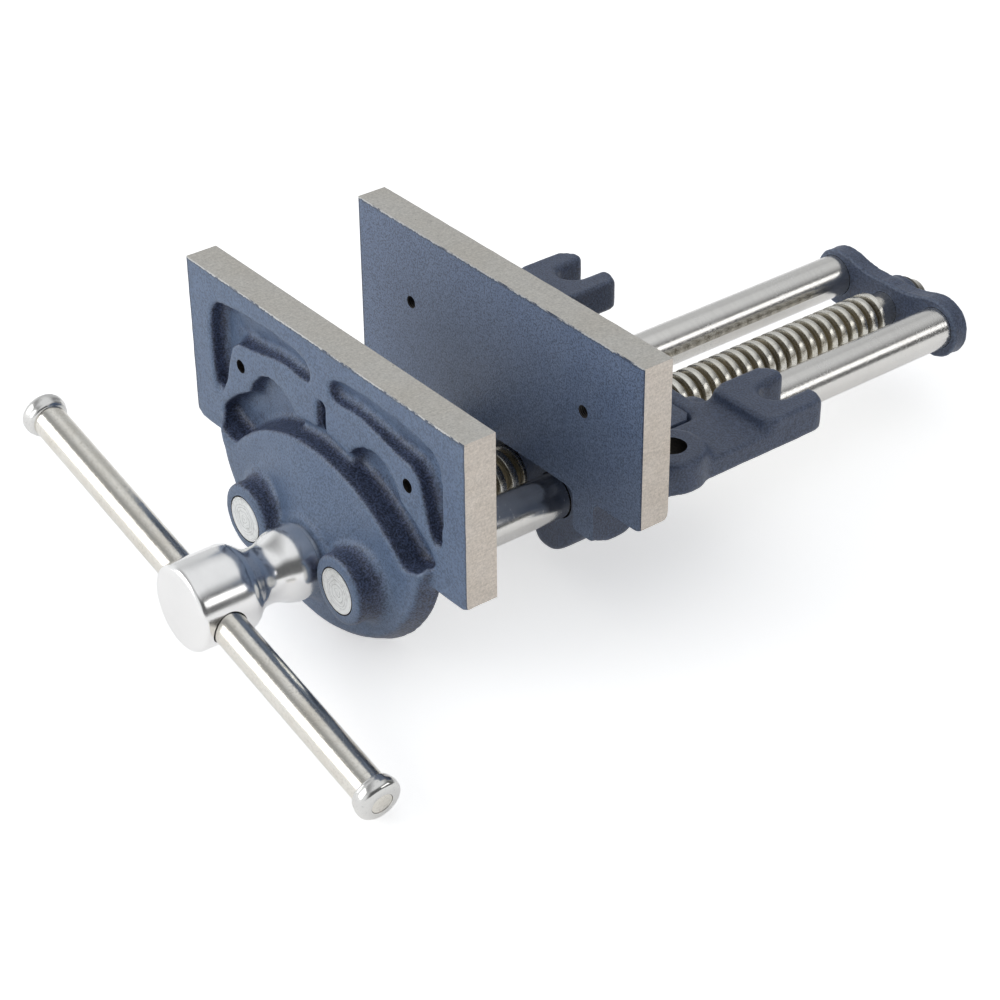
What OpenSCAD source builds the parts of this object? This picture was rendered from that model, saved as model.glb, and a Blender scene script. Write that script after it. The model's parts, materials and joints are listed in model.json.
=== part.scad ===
// Plain-screw woodworking vise that bolts under the edge of a bench.
// Millimetres. +X runs along the jaws, +Y along the screw away from the user, +Z up.
// The origin is midway between the two bench bolt holes, on the plane that meets the bench.

/* [Jaws] */
// Width of both jaws
jaw_w = 175; // [165:1:230]
// Height of both jaws
jaw_h = 70.5; // [68:0.5:90]
// Height of the jaw tops above the plane that meets the bench
jaw_rise = 53.6; // [46:0.1:60]
// Thickness of the moving jaw's plate
front_jaw_t = 13.5; // [12:0.5:20]
// Thickness of the fixed jaw's plate
rear_jaw_t = 13; // [10:0.5:18]
// Radius of the jaws' lower corners
jaw_corner_r = 3; // [1:0.5:6]
// Gap between the jaws as shown
rest_opening = 67.2; // [20:0.1:190]
// Gap between the jaws when wound right out
max_opening = 200; // [195:1:260]

/* [Liner holes] */
// Diameter of the holes for wooden liners
liner_hole_d = 5.5; // [4:0.1:8]
// Distance between the two liner holes of a jaw
liner_hole_spacing = 107; // [90:1:120]
// Depth of the liner holes below the jaw top
liner_hole_drop = 33.5; // [31:0.5:36]

/* [Moving jaw casting] */
// Depth of the cast pockets
pocket_depth = 7; // [3:0.5:9]
// Depth of the shallow channel over the apron
channel_depth = 3.5; // [1:0.5:5]
// Width of the notch in the crown of the arch
notch_w = 5.4; // [3:0.2:8]
// Depth of the notch in the crown of the arch
notch_depth = 4; // [1:0.5:6]
// Radius of the apron's upper edge
apron_top_r = 74; // [70:1:80]
// Radius of the apron's lower outline
apron_low_r = 70; // [67:1:75]
// How far the apron hangs below the plate
apron_depth = 51.5; // [49:0.5:56]
// Depth of the apron's upper edge below the jaw top
apron_top_drop = 42.5; // [41:0.5:44]
// How far the apron stands out in front of the plate at its middle
apron_proud = 9.5; // [7:0.5:12]
// Depth of the hollow behind the apron
apron_hollow = 9; // [4:0.5:12]

/* [Bench base] */
// Distance between the two bench bolt holes
bolt_spacing = 136; // [134:1:140]
// Diameter of the bench bolt holes
bolt_hole_d = 12; // [8:0.5:14]
// Diameter of the bosses round the bench bolt holes
bolt_boss_d = 28; // [22:1:30]
// Distance from the fixed jaw's back face to the bench bolt holes
bolt_setback = 18.4; // [17:0.1:24]
// Width of the base
base_w = 158; // [154:1:164]
// Thickness of the base from the bench plane to its underside
base_t = 14.4; // [13:0.1:20]
// Depth of the base's floor below the bench plane
floor_drop = 5; // [3:0.5:6]
// Distance from the bench bolt holes to the rear edge of the floor
floor_back = 34; // [33:0.5:37]
// Distance from the bench bolt holes to the front of the rear lugs
lug_front = 39.5; // [38:0.5:42]
// Distance from the bench bolt holes to the back of the rear lugs
lug_back = 70; // [66:0.5:80]
// Distance from the middle to the inner side of a rear lug
lug_inner = 45; // [44:0.5:48]
// Width of the open slots in the rear lugs
slot_w = 12.5; // [8:0.5:14]
// Distance from the middle to the middle of a slot
slot_offset = 62.2; // [60:0.1:64]
// Distance from the bench bolt holes to the centre of a slot's round end
slot_centre = 58.6; // [56:0.1:60]

/* [Guides] */
// Diameter of the guide rods
rod_d = 18.4; // [15:0.1:19]
// Distance between the two guide rods
rod_spacing = 61; // [60.5:0.5:64]
// Depth of the guide rods' axes below the jaw tops
rod_drop = 84.4; // [83:0.2:88]
// Outer diameter of the guide sleeves
sleeve_d = 30; // [28:0.5:31]
// Distance from the bench bolt holes to the rear end of the sleeves
sleeve_back = 51.2; // [45:0.1:60]
// Distance from the fixed jaw's front face back to the face of the guide block
guide_inset = 5.9; // [2:0.1:8]
// How far the rods and their bosses stand out in front of the moving jaw
rod_boss_proud = 16.9; // [14:0.1:20]
// Diameter of the rod bosses as a share of the rod spacing
rod_boss_share = 0.4656; // [0.43:0.005:0.49]

/* [Screw] */
// Outer diameter of the thread
screw_d = 20; // [16:0.5:21]
// Distance that the screw moves in one turn
screw_pitch = 6; // [5:0.5:8]
// Depth of the thread
thread_depth = 2.6; // [1.5:0.1:3]
// Depth of the screw's axis below the jaw tops
screw_drop = 88; // [86:0.5:90]
// Diameter of the plain ends of the screw
journal_d = 15; // [12:0.5:15]
// How far the screw's own boss stands out in front of the moving jaw
screw_boss_proud = 10.7; // [9:0.1:13]

/* [End plate] */
// Thickness of the plate that joins the rods at the back
end_plate_t = 8; // [6:0.5:12]
// Radius of the plate's two ends
end_plate_r = 13; // [12.5:0.5:15]
// Length of the boss behind the plate
tail_boss_len = 4.5; // [2:0.5:8]

/* [Handle] */
// Diameter of the hub's head
hub_d = 34.8; // [31:0.2:40]
// Length of the hub from its face to its collar's end
hub_len = 53.2; // [50:0.2:60]
// Diameter of the collar that pushes on the moving jaw as a share of the rod spacing
collar_share = 0.482; // [0.43:0.002:0.49]
// Diameter of the hub's waist
waist_d = 23; // [20:0.5:25]
// Distance from the hub's face to the bar's axis
bar_setback = 10.8; // [9:0.2:13]
// Diameter of the sliding bar
bar_d = 13.7; // [10:0.1:15]
// Length of the bar between its end caps
bar_grip = 209.6; // [150:0.1:260]
// How far the bar has slid through the hub as shown
bar_shift = -2.8; // [-40:0.1:40]
// Turn of the screw and bar as shown, the end on the +X side down
bar_turn = 13.07; // [-45:0.01:45]
// Diameter of the bar's end caps
cap_d = 19.8; // [17:0.1:24]
// Length of the bar's end caps
cap_len = 11.5; // [8:0.1:16]

/* [Nut] */
// Width of the nut's flange
nut_w = 102.6; // [96:0.1:104]
// Length of the nut along the screw
nut_len = 34; // [26:0.5:36]
// Thickness of the nut's flange
nut_flange_t = 6.5; // [5:0.1:8]
// Width of the nut's body between the sleeves
nut_body_w = 28; // [26:0.5:29]
// Bevel on the nut flange's corners
nut_bevel = 3.6; // [1:0.2:6]

/* [Hidden] */

// Colours
casting_blue = [0.22, 0.26, 0.36];
steel = [0.72, 0.72, 0.70];
bright = [0.82, 0.83, 0.85];
dark_steel = [0.35, 0.35, 0.34];

// Clearances: a sliding or turning fit, a fit that doesn't move, a seat, and play round the nut
run_fit = 0.06;
still_fit = 0.02;
seat_gap = 0.1;
nut_play = 0.3;
thread_play = 0.3;
shank_play = 0.08;
// One overrun for every cut
over = 1;

// Places along the screw
rear_back_y = -bolt_setback;
rear_front_y = rear_back_y - rear_jaw_t;
front_back_y = rear_front_y - rest_opening;
front_face_y = front_back_y - front_jaw_t;
rod_face_y = front_face_y - rod_boss_proud;
screw_boss_y = front_face_y - screw_boss_proud;
guide_face_y = rear_front_y + guide_inset;
end_plate_y = sleeve_back + max_opening - rest_opening;
end_plate_back_y = end_plate_y + end_plate_t;
tail_boss_y = end_plate_back_y + tail_boss_len;

// Heights
jaw_top_z = jaw_rise;
jaw_low_z = jaw_rise - jaw_h;
rod_z = jaw_rise - rod_drop;
screw_z = jaw_rise - screw_drop;
floor_z = -floor_drop;
base_low_z = -base_t;
rod_x = rod_spacing / 2;
rod_boss_d = rod_boss_share * rod_spacing;
collar_d = collar_share * rod_spacing;
liner_z = jaw_rise - liner_hole_drop;

// Lowest point of the apron and the heights of the centres of its two arcs
apron_low_z = jaw_low_z - apron_depth;
apron_top_centre_z = jaw_top_z - apron_top_drop - apron_top_r;
apron_low_centre_z = apron_low_z + apron_low_r;

// Thrust washer between the hub's collar and the screw's boss
washer_t = 1.6;
washer_wall = 3.6;
washer_d = screw_d + 2 * washer_wall;
washer_front_y = screw_boss_y - seat_gap - washer_t;
collar_end_y = washer_front_y - seat_gap;
hub_face_y = collar_end_y - hub_len;
bar_y = hub_face_y + bar_setback;

// Screw: spigot in the hub, shank through the moving jaw, thread, tail journal
spigot_len = 24;
shank_clear = 2;
thread_front_y = front_back_y + shank_clear + screw_pitch;
tail_gap = 9;
thread_back_y = end_plate_y - tail_gap;
tail_washer_t = 2;
tail_washer_d = 20;
tail_washer_y = tail_boss_y + seat_gap;
tail_pin_d = 3;
tail_pin_len = 19;
tail_pin_y = tail_washer_y + tail_washer_t + seat_gap + tail_pin_d / 2;
tail_end = 2.4;
tail_end_y = tail_pin_y + tail_pin_d / 2 + tail_end;
tail_chamfer = 1;
thread_chamfer = 1.2;
screw_boss_d = 34;

// Casting details that follow the pieces above
boss_fillet = 6;
foot_share = 0.5;
boss_rim = 1;
rod_pin_d = 5;
rod_pin_bite = 2;
rod_pin_y = front_face_y;
rear_pin_y = end_plate_y + end_plate_t / 2;
rear_pin_d = 4;
rear_pin_bite = 1.5;
pin_run_out = 8;

// Guide block under the fixed jaw
block_margin = 20;
block_half_w = rod_x + block_margin;
block_depth = 58.8;
block_len = 17;
block_back_y = guide_face_y + block_len;
screw_clear_r = screw_d / 2 + 1.5;
web_half_w = 14;
cheek_gap = 3.5;
cheek_w = 12;
cheek_in_x = rod_x + web_half_w + cheek_gap;
cheek_depth = 39;
cheek_len = 47;
lug_corner_r = 4;
floor_fillet_r = 5;

// Nut
nut_ledge = 7.8;
nut_back_y = floor_back - nut_ledge;
nut_front_y = nut_back_y - nut_len;
nut_flange_z = floor_z - nut_flange_t;
nut_body_low = 3.8;
nut_screw_x = 42;
nut_screw_d = 8;
nut_screw_head_d = 13;
nut_screw_head_t = 2.4;
nut_screw_len = 8;
nut_washer_d = 15;
nut_washer_t = 0.9;
hex_size = 5;
hex_deep = 1.5;

// Hub outline: share of the hub's length from its face, and a radius picked from the
// three named diameters by a share between waist and head or waist and collar
hub_head_shares = [[0.425, 1], [0.481, 0.76], [0.5, 0.66], [0.556, 0.34], [0.6, 0.1]];
hub_waist_shares = [[0.63, 0], [0.69, 0]];
hub_neck_shares = [[0.765, 0.4], [0.82, 0.86], [0.89, 1.06], [0.94, 1.03]];
hub_edge = 1;
bar_hole_play = 0.4;
hub_pin_d = 5;
hub_pin_share = 0.86;
hub_pin_turn = 205;

// Bar caps
cap_rivet_d = 9.5;
cap_round_shares = [[0, 0.74], [0.05, 0.86], [0.16, 0.955], [0.32, 1], [0.78, 1], [0.9, 0.95], [1, 0.84]];

// Pocket outlines on the +X half of the moving jaw: share of half the jaw's width from
// the middle, and share of the jaw's height down from its top
upper_pocket_shares = [
    [0.072, 0.213], [0.097, 0.163], [0.166, 0.136], [0.34, 0.122], [0.55, 0.13],
    [0.69, 0.153], [0.783, 0.176], [0.826, 0.234], [0.841, 0.34], [0.839, 0.567],
    [0.826, 0.723], [0.807, 0.746], [0.784, 0.728], [0.745, 0.638], [0.709, 0.482],
    [0.683, 0.397], [0.631, 0.343], [0.514, 0.326], [0.389, 0.288], [0.274, 0.265],
    [0.183, 0.274], [0.1, 0.284], [0.074, 0.258]
];
lobe_shares = [
    [0.19, 0.6], [0.194, 0.546], [0.24, 0.486], [0.309, 0.44], [0.389, 0.424],
    [0.463, 0.458], [0.52, 0.528], [0.554, 0.61], [0.663, 0.688], [0.746, 0.773],
    [0.786, 0.835], [0.777, 0.875], [0.737, 0.912], [0.67, 0.938], [0.58, 0.95],
    [0.4, 0.955], [0.19, 0.8]
];
channel_shares = [
    [-0.24, 0.6], [-0.2, 0.553], [-0.1, 0.528], [0, 0.52], [0.1, 0.528], [0.2, 0.553],
    [0.24, 0.6], [0.24, 0.75], [-0.24, 0.75]
];
notch_top_share = 0.34;
notch_low_share = 0.56;

// Apron: distance from the screw's axis and height in front of the plate, as shares of
// the apron's lower radius and of how far it stands out
dome_shares = [
    [0, 1], [0.304, 0.93], [0.48, 0.68], [0.634, 0.51], [0.84, 0.48], [1.06, 0.47], [1.4, 0.46]
];
// Top of the apron's wings beside the lobe pockets, as a share of the jaw's height
wing_top_share = 0.845;

// Guide block outline on the +X half: shares of its half width and of its depth
block_shares = [
    [0, 0.2], [1, 0.2], [1, 0.67], [0.786, 0.843], [0.64, 0.956], [0.574, 0.99],
    [0.509, 1], [0.426, 1], [0.366, 0.978], [0.34, 0.945], [0.29, 0.86], [0, 0.86]
];
// Cheek outline in side view: shares of its length and of its depth
cheek_shares = [
    [0, 0.3], [0, 0.84], [0.05, 0.92], [0.15, 0.98], [0.28, 1], [0.4, 0.97],
    [0.55, 0.8], [0.75, 0.55], [0.93, 0.4], [1, 0.3]
];
// Concave top and straight bottom of the end plate: shares of the rod distance and of
// the plate's end radius
plate_top_shares = [
    [-0.46, 1], [-0.4, 0.98], [-0.3, 0.84], [-0.2, 0.75], [-0.08, 0.72], [0.08, 0.72],
    [0.2, 0.75], [0.3, 0.84], [0.4, 0.98], [0.46, 1]
];
plate_end_in = 1.5;
plate_end_sink = 1;
plate_boss_d = 24.8;

// Smoothness of turned faces
$fn = 64;

// Cylinder along +Y from y0 to y1
module bar_along(r, y0, y1) {
    translate([0, y0, 0]) rotate([-90, 0, 0]) cylinder(r = r, h = y1 - y0);
}

// Flat outline in X and Z carried along Y from y0 to y1
module slab(y0, y1) {
    translate([0, y1, 0]) rotate([90, 0, 0]) linear_extrude(height = y1 - y0) children();
}

// Solid of revolution about Y, from points of radius and place along Y
module turned(points) {
    rotate([-90, 0, 0]) rotate_extrude($fn = 96) polygon(points);
}

// Both sides of the middle plane
module both_sides() {
    children();
    mirror([1, 0, 0]) children();
}

// Place on the screw's axis, turned with the screw
module on_screw() {
    translate([0, 0, screw_z]) rotate([0, bar_turn, 0]) children();
}

// Front view outline of a jaw plate, square at the top and rounded at the lower corners
module jaw_outline() {
    straight_w = jaw_w - 2 * jaw_corner_r;
    translate([-jaw_w / 2, jaw_low_z + jaw_corner_r]) square([jaw_w, jaw_h - jaw_corner_r]);
    translate([-straight_w / 2, jaw_low_z]) square([straight_w, 2 * jaw_corner_r]);
    for (side = [-1, 1]) {
        translate([side * straight_w / 2, jaw_low_z + jaw_corner_r]) circle(r = jaw_corner_r);
    }
}

// Points on the moving jaw's face from shares of its half width and height
function face_points(shares) = [
    for (s = shares) [s[0] * jaw_w / 2, jaw_top_z - s[1] * jaw_h]
];

module liner_holes(y0, y1) {
    for (side = [-1, 1]) {
        translate([side * liner_hole_spacing / 2, 0, liner_z])
            bar_along(liner_hole_d / 2, y0 - over, y1 + over);
    }
}

// Plate of the moving jaw with its cast pockets, arch and notch
module front_plate() {
    difference() {
        slab(front_face_y, front_back_y) jaw_outline();
        both_sides() {
            slab(front_face_y - over, front_face_y + pocket_depth)
                polygon(face_points(upper_pocket_shares));
            slab(front_face_y - over, front_face_y + pocket_depth)
                polygon(face_points(lobe_shares));
        }
        slab(front_face_y - over, front_face_y + channel_depth)
            polygon(face_points(channel_shares));
        slab(front_face_y - over, front_face_y + notch_depth)
            translate([-notch_w / 2, jaw_top_z - notch_low_share * jaw_h])
                square([notch_w, (notch_low_share - notch_top_share) * jaw_h]);
    }
}

module apron_outline() {
    wing_top_z = jaw_top_z - wing_top_share * jaw_h;
    translate([0, apron_top_centre_z]) circle(r = apron_top_r, $fn = 180);
    difference() {
        translate([-apron_low_r, apron_low_z])
            square([2 * apron_low_r, wing_top_z - apron_low_z]);
        polygon(face_points(lobe_shares));
        mirror([1, 0]) polygon(face_points(lobe_shares));
    }
}

// Half-round apron with a domed front, and wings beside the lobe pockets
module apron() {
    dome = [
        for (s = dome_shares) [s[0] * apron_low_r, front_face_y - s[1] * apron_proud]
    ];
    far_r = dome_shares[len(dome_shares) - 1][0] * apron_low_r;
    intersection() {
        slab(front_face_y - 2 * apron_proud, front_back_y) apron_outline();
        translate([0, 0, screw_z])
            turned(concat(dome, [[far_r, front_back_y + over], [0, front_back_y + over]]));
        translate([0, 0, apron_low_centre_z])
            bar_along(apron_low_r, front_face_y - 3 * apron_proud, front_back_y + over);
    }
}

// Boss with a coved foot, from the plate out to face_y
module coved_boss(r, face_y) {
    foot_y = front_face_y - foot_share * apron_proud;
    turned(concat(
        [[0, face_y], [r - boss_rim, face_y], [r, face_y + boss_rim]],
        [for (a = [0 : 15 : 90])
            [r + boss_fillet * (1 - cos(a)), foot_y - boss_fillet * (1 - sin(a))]],
        [[r + boss_fillet, foot_y + over], [r, front_back_y], [0, front_back_y]]
    ));
}

module front_jaw() {
    color(casting_blue) difference() {
        union() {
            front_plate();
            apron();
            both_sides() translate([rod_x, 0, rod_z]) coved_boss(rod_boss_d / 2, rod_face_y);
            translate([0, 0, screw_z]) coved_boss(screw_boss_d / 2, screw_boss_y);
        }
        // Thin wall of the apron outside the rod bosses, open behind
        both_sides() difference() {
            translate([rod_x, front_back_y - apron_hollow, apron_low_z - over])
                cube([jaw_w / 2, apron_hollow + over, apron_depth + over]);
            translate([rod_x, 0, rod_z])
                bar_along(sleeve_d / 2, front_back_y - 2 * apron_hollow, front_back_y + 2 * over);
        }
        both_sides() translate([rod_x, 0, rod_z])
            bar_along(rod_d / 2 + still_fit, rod_face_y - over, front_back_y + over);
        translate([0, 0, screw_z])
            bar_along(screw_d / 2 + shank_play, screw_boss_y - over, front_back_y + over);
        liner_holes(front_face_y, front_back_y);
        both_sides() translate([rod_x, rod_pin_y, 0])
            pin_hole(rod_pin_d, rod_pin_bite, apron_low_r);
    }
}

// Upright hole for a pin that crosses a rod, run out below
module pin_hole(d, bite, run) {
    translate([0, 0, rod_z - run])
        cylinder(d = d + 2 * still_fit, h = run + rod_d / 2 + bite);
}

// Upright pin that crosses a rod
module cross_pin(d, bite) {
    translate([0, 0, rod_z - rod_d / 2 - pin_run_out])
        cylinder(d = d, h = rod_d + bite + pin_run_out - still_fit);
}

// Rounded rectangle from two opposite corners
module round_pad(x0, y0, x1, y1, r) {
    translate([x0 + r, y0]) square([x1 - x0 - 2 * r, y1 - y0]);
    translate([x0, y0 + r]) square([x1 - x0, y1 - y0 - 2 * r]);
    for (x = [x0 + r, x1 - r]) {
        for (y = [y0 + r, y1 - r]) {
            translate([x, y]) circle(r = r);
        }
    }
}

module base() {
    // Floor from the jaw to its rear edge
    translate([-base_w / 2, rear_back_y - rear_jaw_t / 2, base_low_z])
        cube([base_w, floor_back - rear_back_y + rear_jaw_t / 2, floor_z - base_low_z]);
    both_sides() {
        // Boss that meets the bench
        translate([bolt_spacing / 2, 0, base_low_z]) cylinder(d = bolt_boss_d, h = base_t);
        // Lug that meets the bench, and the floor that leads to it
        translate([0, 0, base_low_z]) linear_extrude(height = base_t)
            round_pad(lug_inner, lug_front, base_w / 2, lug_back, lug_corner_r);
        translate([lug_inner, lug_front - lug_corner_r, base_low_z])
            cube([lug_corner_r, 2 * lug_corner_r, floor_z - base_low_z]);
        translate([base_w / 2 - lug_corner_r, lug_front - lug_corner_r, base_low_z])
            cube([lug_corner_r, 3 * lug_corner_r, floor_z - base_low_z]);
        translate([lug_inner, floor_back - over, base_low_z])
            cube([base_w / 2 - lug_inner, lug_front - floor_back + 2 * over, floor_z - base_low_z]);
        // Coved corner between the floor's rear edge and the lug
        translate([lug_inner - floor_fillet_r, floor_back - over, base_low_z]) difference() {
            cube([floor_fillet_r + over, floor_fillet_r + over, floor_z - base_low_z]);
            translate([0, floor_fillet_r + over, -over])
                cylinder(r = floor_fillet_r, h = base_t + 2 * over);
        }
    }
}

// Guide block, sleeves, webs and cheeks below the base
module guides() {
    half = [for (s = block_shares) [s[0] * block_half_w, -s[1] * block_depth]];
    slab(guide_face_y, block_back_y) both_sides_flat() polygon(half);
    both_sides() {
        translate([rod_x, 0, rod_z]) bar_along(sleeve_d / 2, guide_face_y, sleeve_back);
        translate([rod_x - web_half_w, rear_back_y, rod_z])
            cube([2 * web_half_w, floor_back - rear_back_y, base_low_z - rod_z + over]);
        cheek();
    }
}

module both_sides_flat() {
    children();
    mirror([1, 0]) children();
}

// Rounded rib that carries the jaw's weight down to the guide block
module cheek() {
    side = [
        for (s = cheek_shares) [rear_front_y + s[0] * cheek_len, -s[1] * cheek_depth]
    ];
    translate([cheek_in_x, 0, 0]) rotate([90, 0, 90])
        linear_extrude(height = cheek_w) polygon(side);
}

module rear_jaw() {
    pocket_w = nut_w + 2 * nut_play;
    body_w = nut_body_w + 2 * nut_play;
    color(casting_blue) difference() {
        union() {
            slab(rear_front_y, rear_back_y) jaw_outline();
            base();
            guides();
        }
        // Pocket for the nut's flange and the slot for its body
        translate([-pocket_w / 2, nut_front_y - nut_play, nut_flange_z])
            cube([pocket_w, nut_len + 2 * nut_play, base_t]);
        translate([-body_w / 2, nut_front_y - nut_play, -block_depth - over])
            cube([body_w, nut_len + 2 * nut_play, block_depth]);
        // Way through for the screw, open below
        translate([0, 0, screw_z])
            bar_along(screw_clear_r, rear_front_y - over, nut_front_y + over);
        translate([-screw_clear_r, rear_front_y - over, -block_depth - over])
            cube([2 * screw_clear_r, block_len + guide_inset + 2 * over, block_depth + screw_z + over]);
        both_sides() {
            translate([rod_x, 0, rod_z])
                bar_along(rod_d / 2 + run_fit, rear_front_y - over, sleeve_back + over);
            translate([bolt_spacing / 2, 0, base_low_z - over])
                cylinder(d = bolt_hole_d, h = base_t + 2 * over);
            translate([slot_offset, slot_centre, base_low_z - over])
                cylinder(d = slot_w, h = base_t + 2 * over);
            translate([slot_offset - slot_w / 2, slot_centre, base_low_z - over])
                cube([slot_w, lug_back - slot_centre + over, base_t + 2 * over]);
            nut_screw_place() translate([0, 0, -nut_screw_len])
                cylinder(d = nut_screw_d + 2 * still_fit, h = nut_screw_len + over);
        }
        liner_holes(rear_front_y, rear_back_y);
    }
}

module guide_rod() {
    difference() {
        translate([0, 0, rod_z]) bar_along(rod_d / 2, rod_face_y, end_plate_back_y);
        translate([0, rod_pin_y, 0]) pin_hole(rod_pin_d, rod_pin_bite, rod_d);
        translate([0, rear_pin_y, 0]) pin_hole(rear_pin_d, rear_pin_bite, rod_d);
    }
}

module guide_rod_left() {
    color(bright) translate([-rod_x, 0, 0]) guide_rod();
}

module guide_rod_right() {
    color(bright) translate([rod_x, 0, 0]) guide_rod();
}

module rod_front_pins() {
    color(dark_steel) both_sides() translate([rod_x, rod_pin_y, 0])
        cross_pin(rod_pin_d, rod_pin_bite);
}

module rod_rear_pins() {
    color(dark_steel) both_sides() translate([rod_x, rear_pin_y, 0])
        translate([0, 0, rod_z - rod_d / 2 - rear_pin_bite])
            cylinder(d = rear_pin_d, h = rod_d + 2 * rear_pin_bite - still_fit);
}

// Plate that ties the rods together and carries the tail of the screw
module end_plate() {
    end_z = rod_z - plate_end_sink;
    top = [
        for (s = plate_top_shares) [s[0] * rod_spacing, end_z + s[1] * end_plate_r]
    ];
    low_x = rod_x - plate_end_in;
    color(casting_blue) difference() {
        union() {
            slab(end_plate_y, end_plate_back_y) {
                polygon(concat(top, [[low_x, end_z - end_plate_r], [-low_x, end_z - end_plate_r]]));
                for (side = [-1, 1]) {
                    translate([side * low_x, end_z]) circle(r = end_plate_r);
                }
                translate([0, screw_z]) circle(d = plate_boss_d);
            }
            translate([0, 0, screw_z]) bar_along(plate_boss_d / 2 - boss_rim, end_plate_y, tail_boss_y);
        }
        translate([0, 0, screw_z])
            bar_along(journal_d / 2 + shank_play, end_plate_y - over, tail_boss_y + over);
        both_sides() {
            translate([rod_x, 0, rod_z])
                bar_along(rod_d / 2 + still_fit, end_plate_y - over, end_plate_back_y + over);
            translate([rod_x, rear_pin_y, 0]) pin_hole(rear_pin_d, rear_pin_bite, 2 * end_plate_r);
        }
    }
}

// Screw with its spigot, shank, threaded length and tail; a groove at the thread's
// root diameter, one pitch wide, ends the thread at the front
module main_screw() {
    root_r = screw_d / 2 - thread_depth;
    color(steel) on_screw() difference() {
        turned([
            [0, collar_end_y - spigot_len], [journal_d / 2, collar_end_y - spigot_len],
            [journal_d / 2, collar_end_y], [screw_d / 2, collar_end_y],
            [screw_d / 2, thread_front_y - screw_pitch], [root_r, thread_front_y - screw_pitch],
            [root_r, thread_front_y], [screw_d / 2, thread_front_y],
            [screw_d / 2, thread_back_y - thread_chamfer],
            [screw_d / 2 - thread_chamfer, thread_back_y], [journal_d / 2, thread_back_y],
            [journal_d / 2, tail_end_y - tail_chamfer],
            [journal_d / 2 - tail_chamfer, tail_end_y], [0, tail_end_y]
        ]);
        hub_pin_hole();
        translate([0, tail_pin_y, 0]) rotate([0, 90, 0])
            cylinder(d = tail_pin_d + 2 * still_fit, h = screw_d, center = true);
    }
}

function mix(a, b, t) = a + (b - a) * t;

module screw_hub() {
    head_r = hub_d / 2;
    waist_r = waist_d / 2;
    collar_r = collar_d / 2;
    outline = concat(
        [[0, hub_face_y], [head_r - hub_edge, hub_face_y], [head_r, hub_face_y + hub_edge]],
        [for (s = hub_head_shares) [mix(waist_r, head_r, s[1]), hub_face_y + s[0] * hub_len]],
        [for (s = hub_waist_shares) [waist_r, hub_face_y + s[0] * hub_len]],
        [for (s = hub_neck_shares) [mix(waist_r, collar_r, s[1]), hub_face_y + s[0] * hub_len]],
        [[collar_r, collar_end_y], [0, collar_end_y]]
    );
    color(bright) on_screw() difference() {
        turned(outline);
        bar_along(journal_d / 2 + still_fit, collar_end_y - spigot_len - still_fit, collar_end_y + over);
        translate([0, bar_y, 0]) rotate([0, 90, 0])
            cylinder(d = bar_d + 2 * bar_hole_play, h = 2 * hub_d, center = true);
        hub_pin_hole();
    }
}

// Blind hole across the hub's collar and the screw's spigot
module hub_pin_hole() {
    translate([0, hub_face_y + hub_pin_share * hub_len, 0]) rotate([0, hub_pin_turn, 0])
        translate([0, 0, -journal_d / 2]) cylinder(d = hub_pin_d + 2 * still_fit, h = hub_d);
}

module hub_pin() {
    color(dark_steel) on_screw()
        translate([0, hub_face_y + hub_pin_share * hub_len, 0]) rotate([0, hub_pin_turn, 0])
            translate([0, 0, -journal_d / 2 + still_fit])
                cylinder(d = hub_pin_d, h = journal_d / 2 + collar_d / 2 - 2 * still_fit);
}

// Bar frame: +Z along the bar towards its right end, zero at the middle of its grip
module on_bar() {
    on_screw() translate([bar_shift, bar_y, 0]) rotate([0, 90, 0]) children();
}

module tommy_bar() {
    color(bright) on_bar() {
        cylinder(d = bar_d, h = bar_grip, center = true);
        cylinder(d = cap_rivet_d, h = bar_grip + 2 * cap_len, center = true);
    }
}

module bar_cap() {
    outline = concat(
        [[cap_rivet_d / 2 + still_fit, 0]],
        [for (s = cap_round_shares) [s[1] * cap_d / 2, s[0] * cap_len]],
        [[cap_rivet_d / 2 + still_fit, cap_len]]
    );
    translate([0, 0, bar_grip / 2]) rotate_extrude($fn = 96) polygon(outline);
}

module bar_cap_right() {
    color(bright) on_bar() bar_cap();
}

module bar_cap_left() {
    color(bright) on_bar() mirror([0, 0, 1]) bar_cap();
}

module thrust_washer() {
    color(dark_steel) translate([0, 0, screw_z]) difference() {
        bar_along(washer_d / 2, washer_front_y, washer_front_y + washer_t);
        bar_along(screw_d / 2 + shank_play, washer_front_y - over, washer_front_y + washer_t + over);
    }
}

// Where a nut screw stands: the top of the casting's ledge
module nut_screw_place() {
    translate([nut_screw_x, (nut_front_y + nut_back_y) / 2, nut_flange_z]) children();
}

// Nut with a flange that drops into the base and a body that hangs between the sleeves
module screw_nut() {
    half = nut_w / 2;
    body_r = screw_d / 2 + nut_body_low;
    color(casting_blue) difference() {
        union() {
            translate([0, 0, nut_flange_z]) linear_extrude(height = nut_flange_t) polygon([
                [-half + nut_bevel, nut_front_y], [half - nut_bevel, nut_front_y],
                [half, nut_front_y + nut_bevel], [half, nut_back_y - nut_bevel],
                [half - nut_bevel, nut_back_y], [-half + nut_bevel, nut_back_y],
                [-half, nut_back_y - nut_bevel], [-half, nut_front_y + nut_bevel]
            ]);
            translate([-nut_body_w / 2, nut_front_y, screw_z])
                cube([nut_body_w, nut_len, nut_flange_z - screw_z + over]);
            translate([0, 0, screw_z]) bar_along(nut_body_w / 2, nut_front_y, nut_back_y);
        }
        translate([0, 0, screw_z])
            bar_along(screw_d / 2 + thread_play, nut_front_y - over, nut_back_y + over);
        both_sides() nut_screw_place() {
            translate([0, 0, -over])
                cylinder(d = nut_screw_d + 2 * nut_play, h = nut_flange_t + 2 * over);
            translate([0, 0, nut_flange_t - nut_screw_head_t - nut_washer_t])
                cylinder(d = nut_washer_d + 2 * nut_play, h = nut_flange_t);
        }
    }
}

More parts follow.
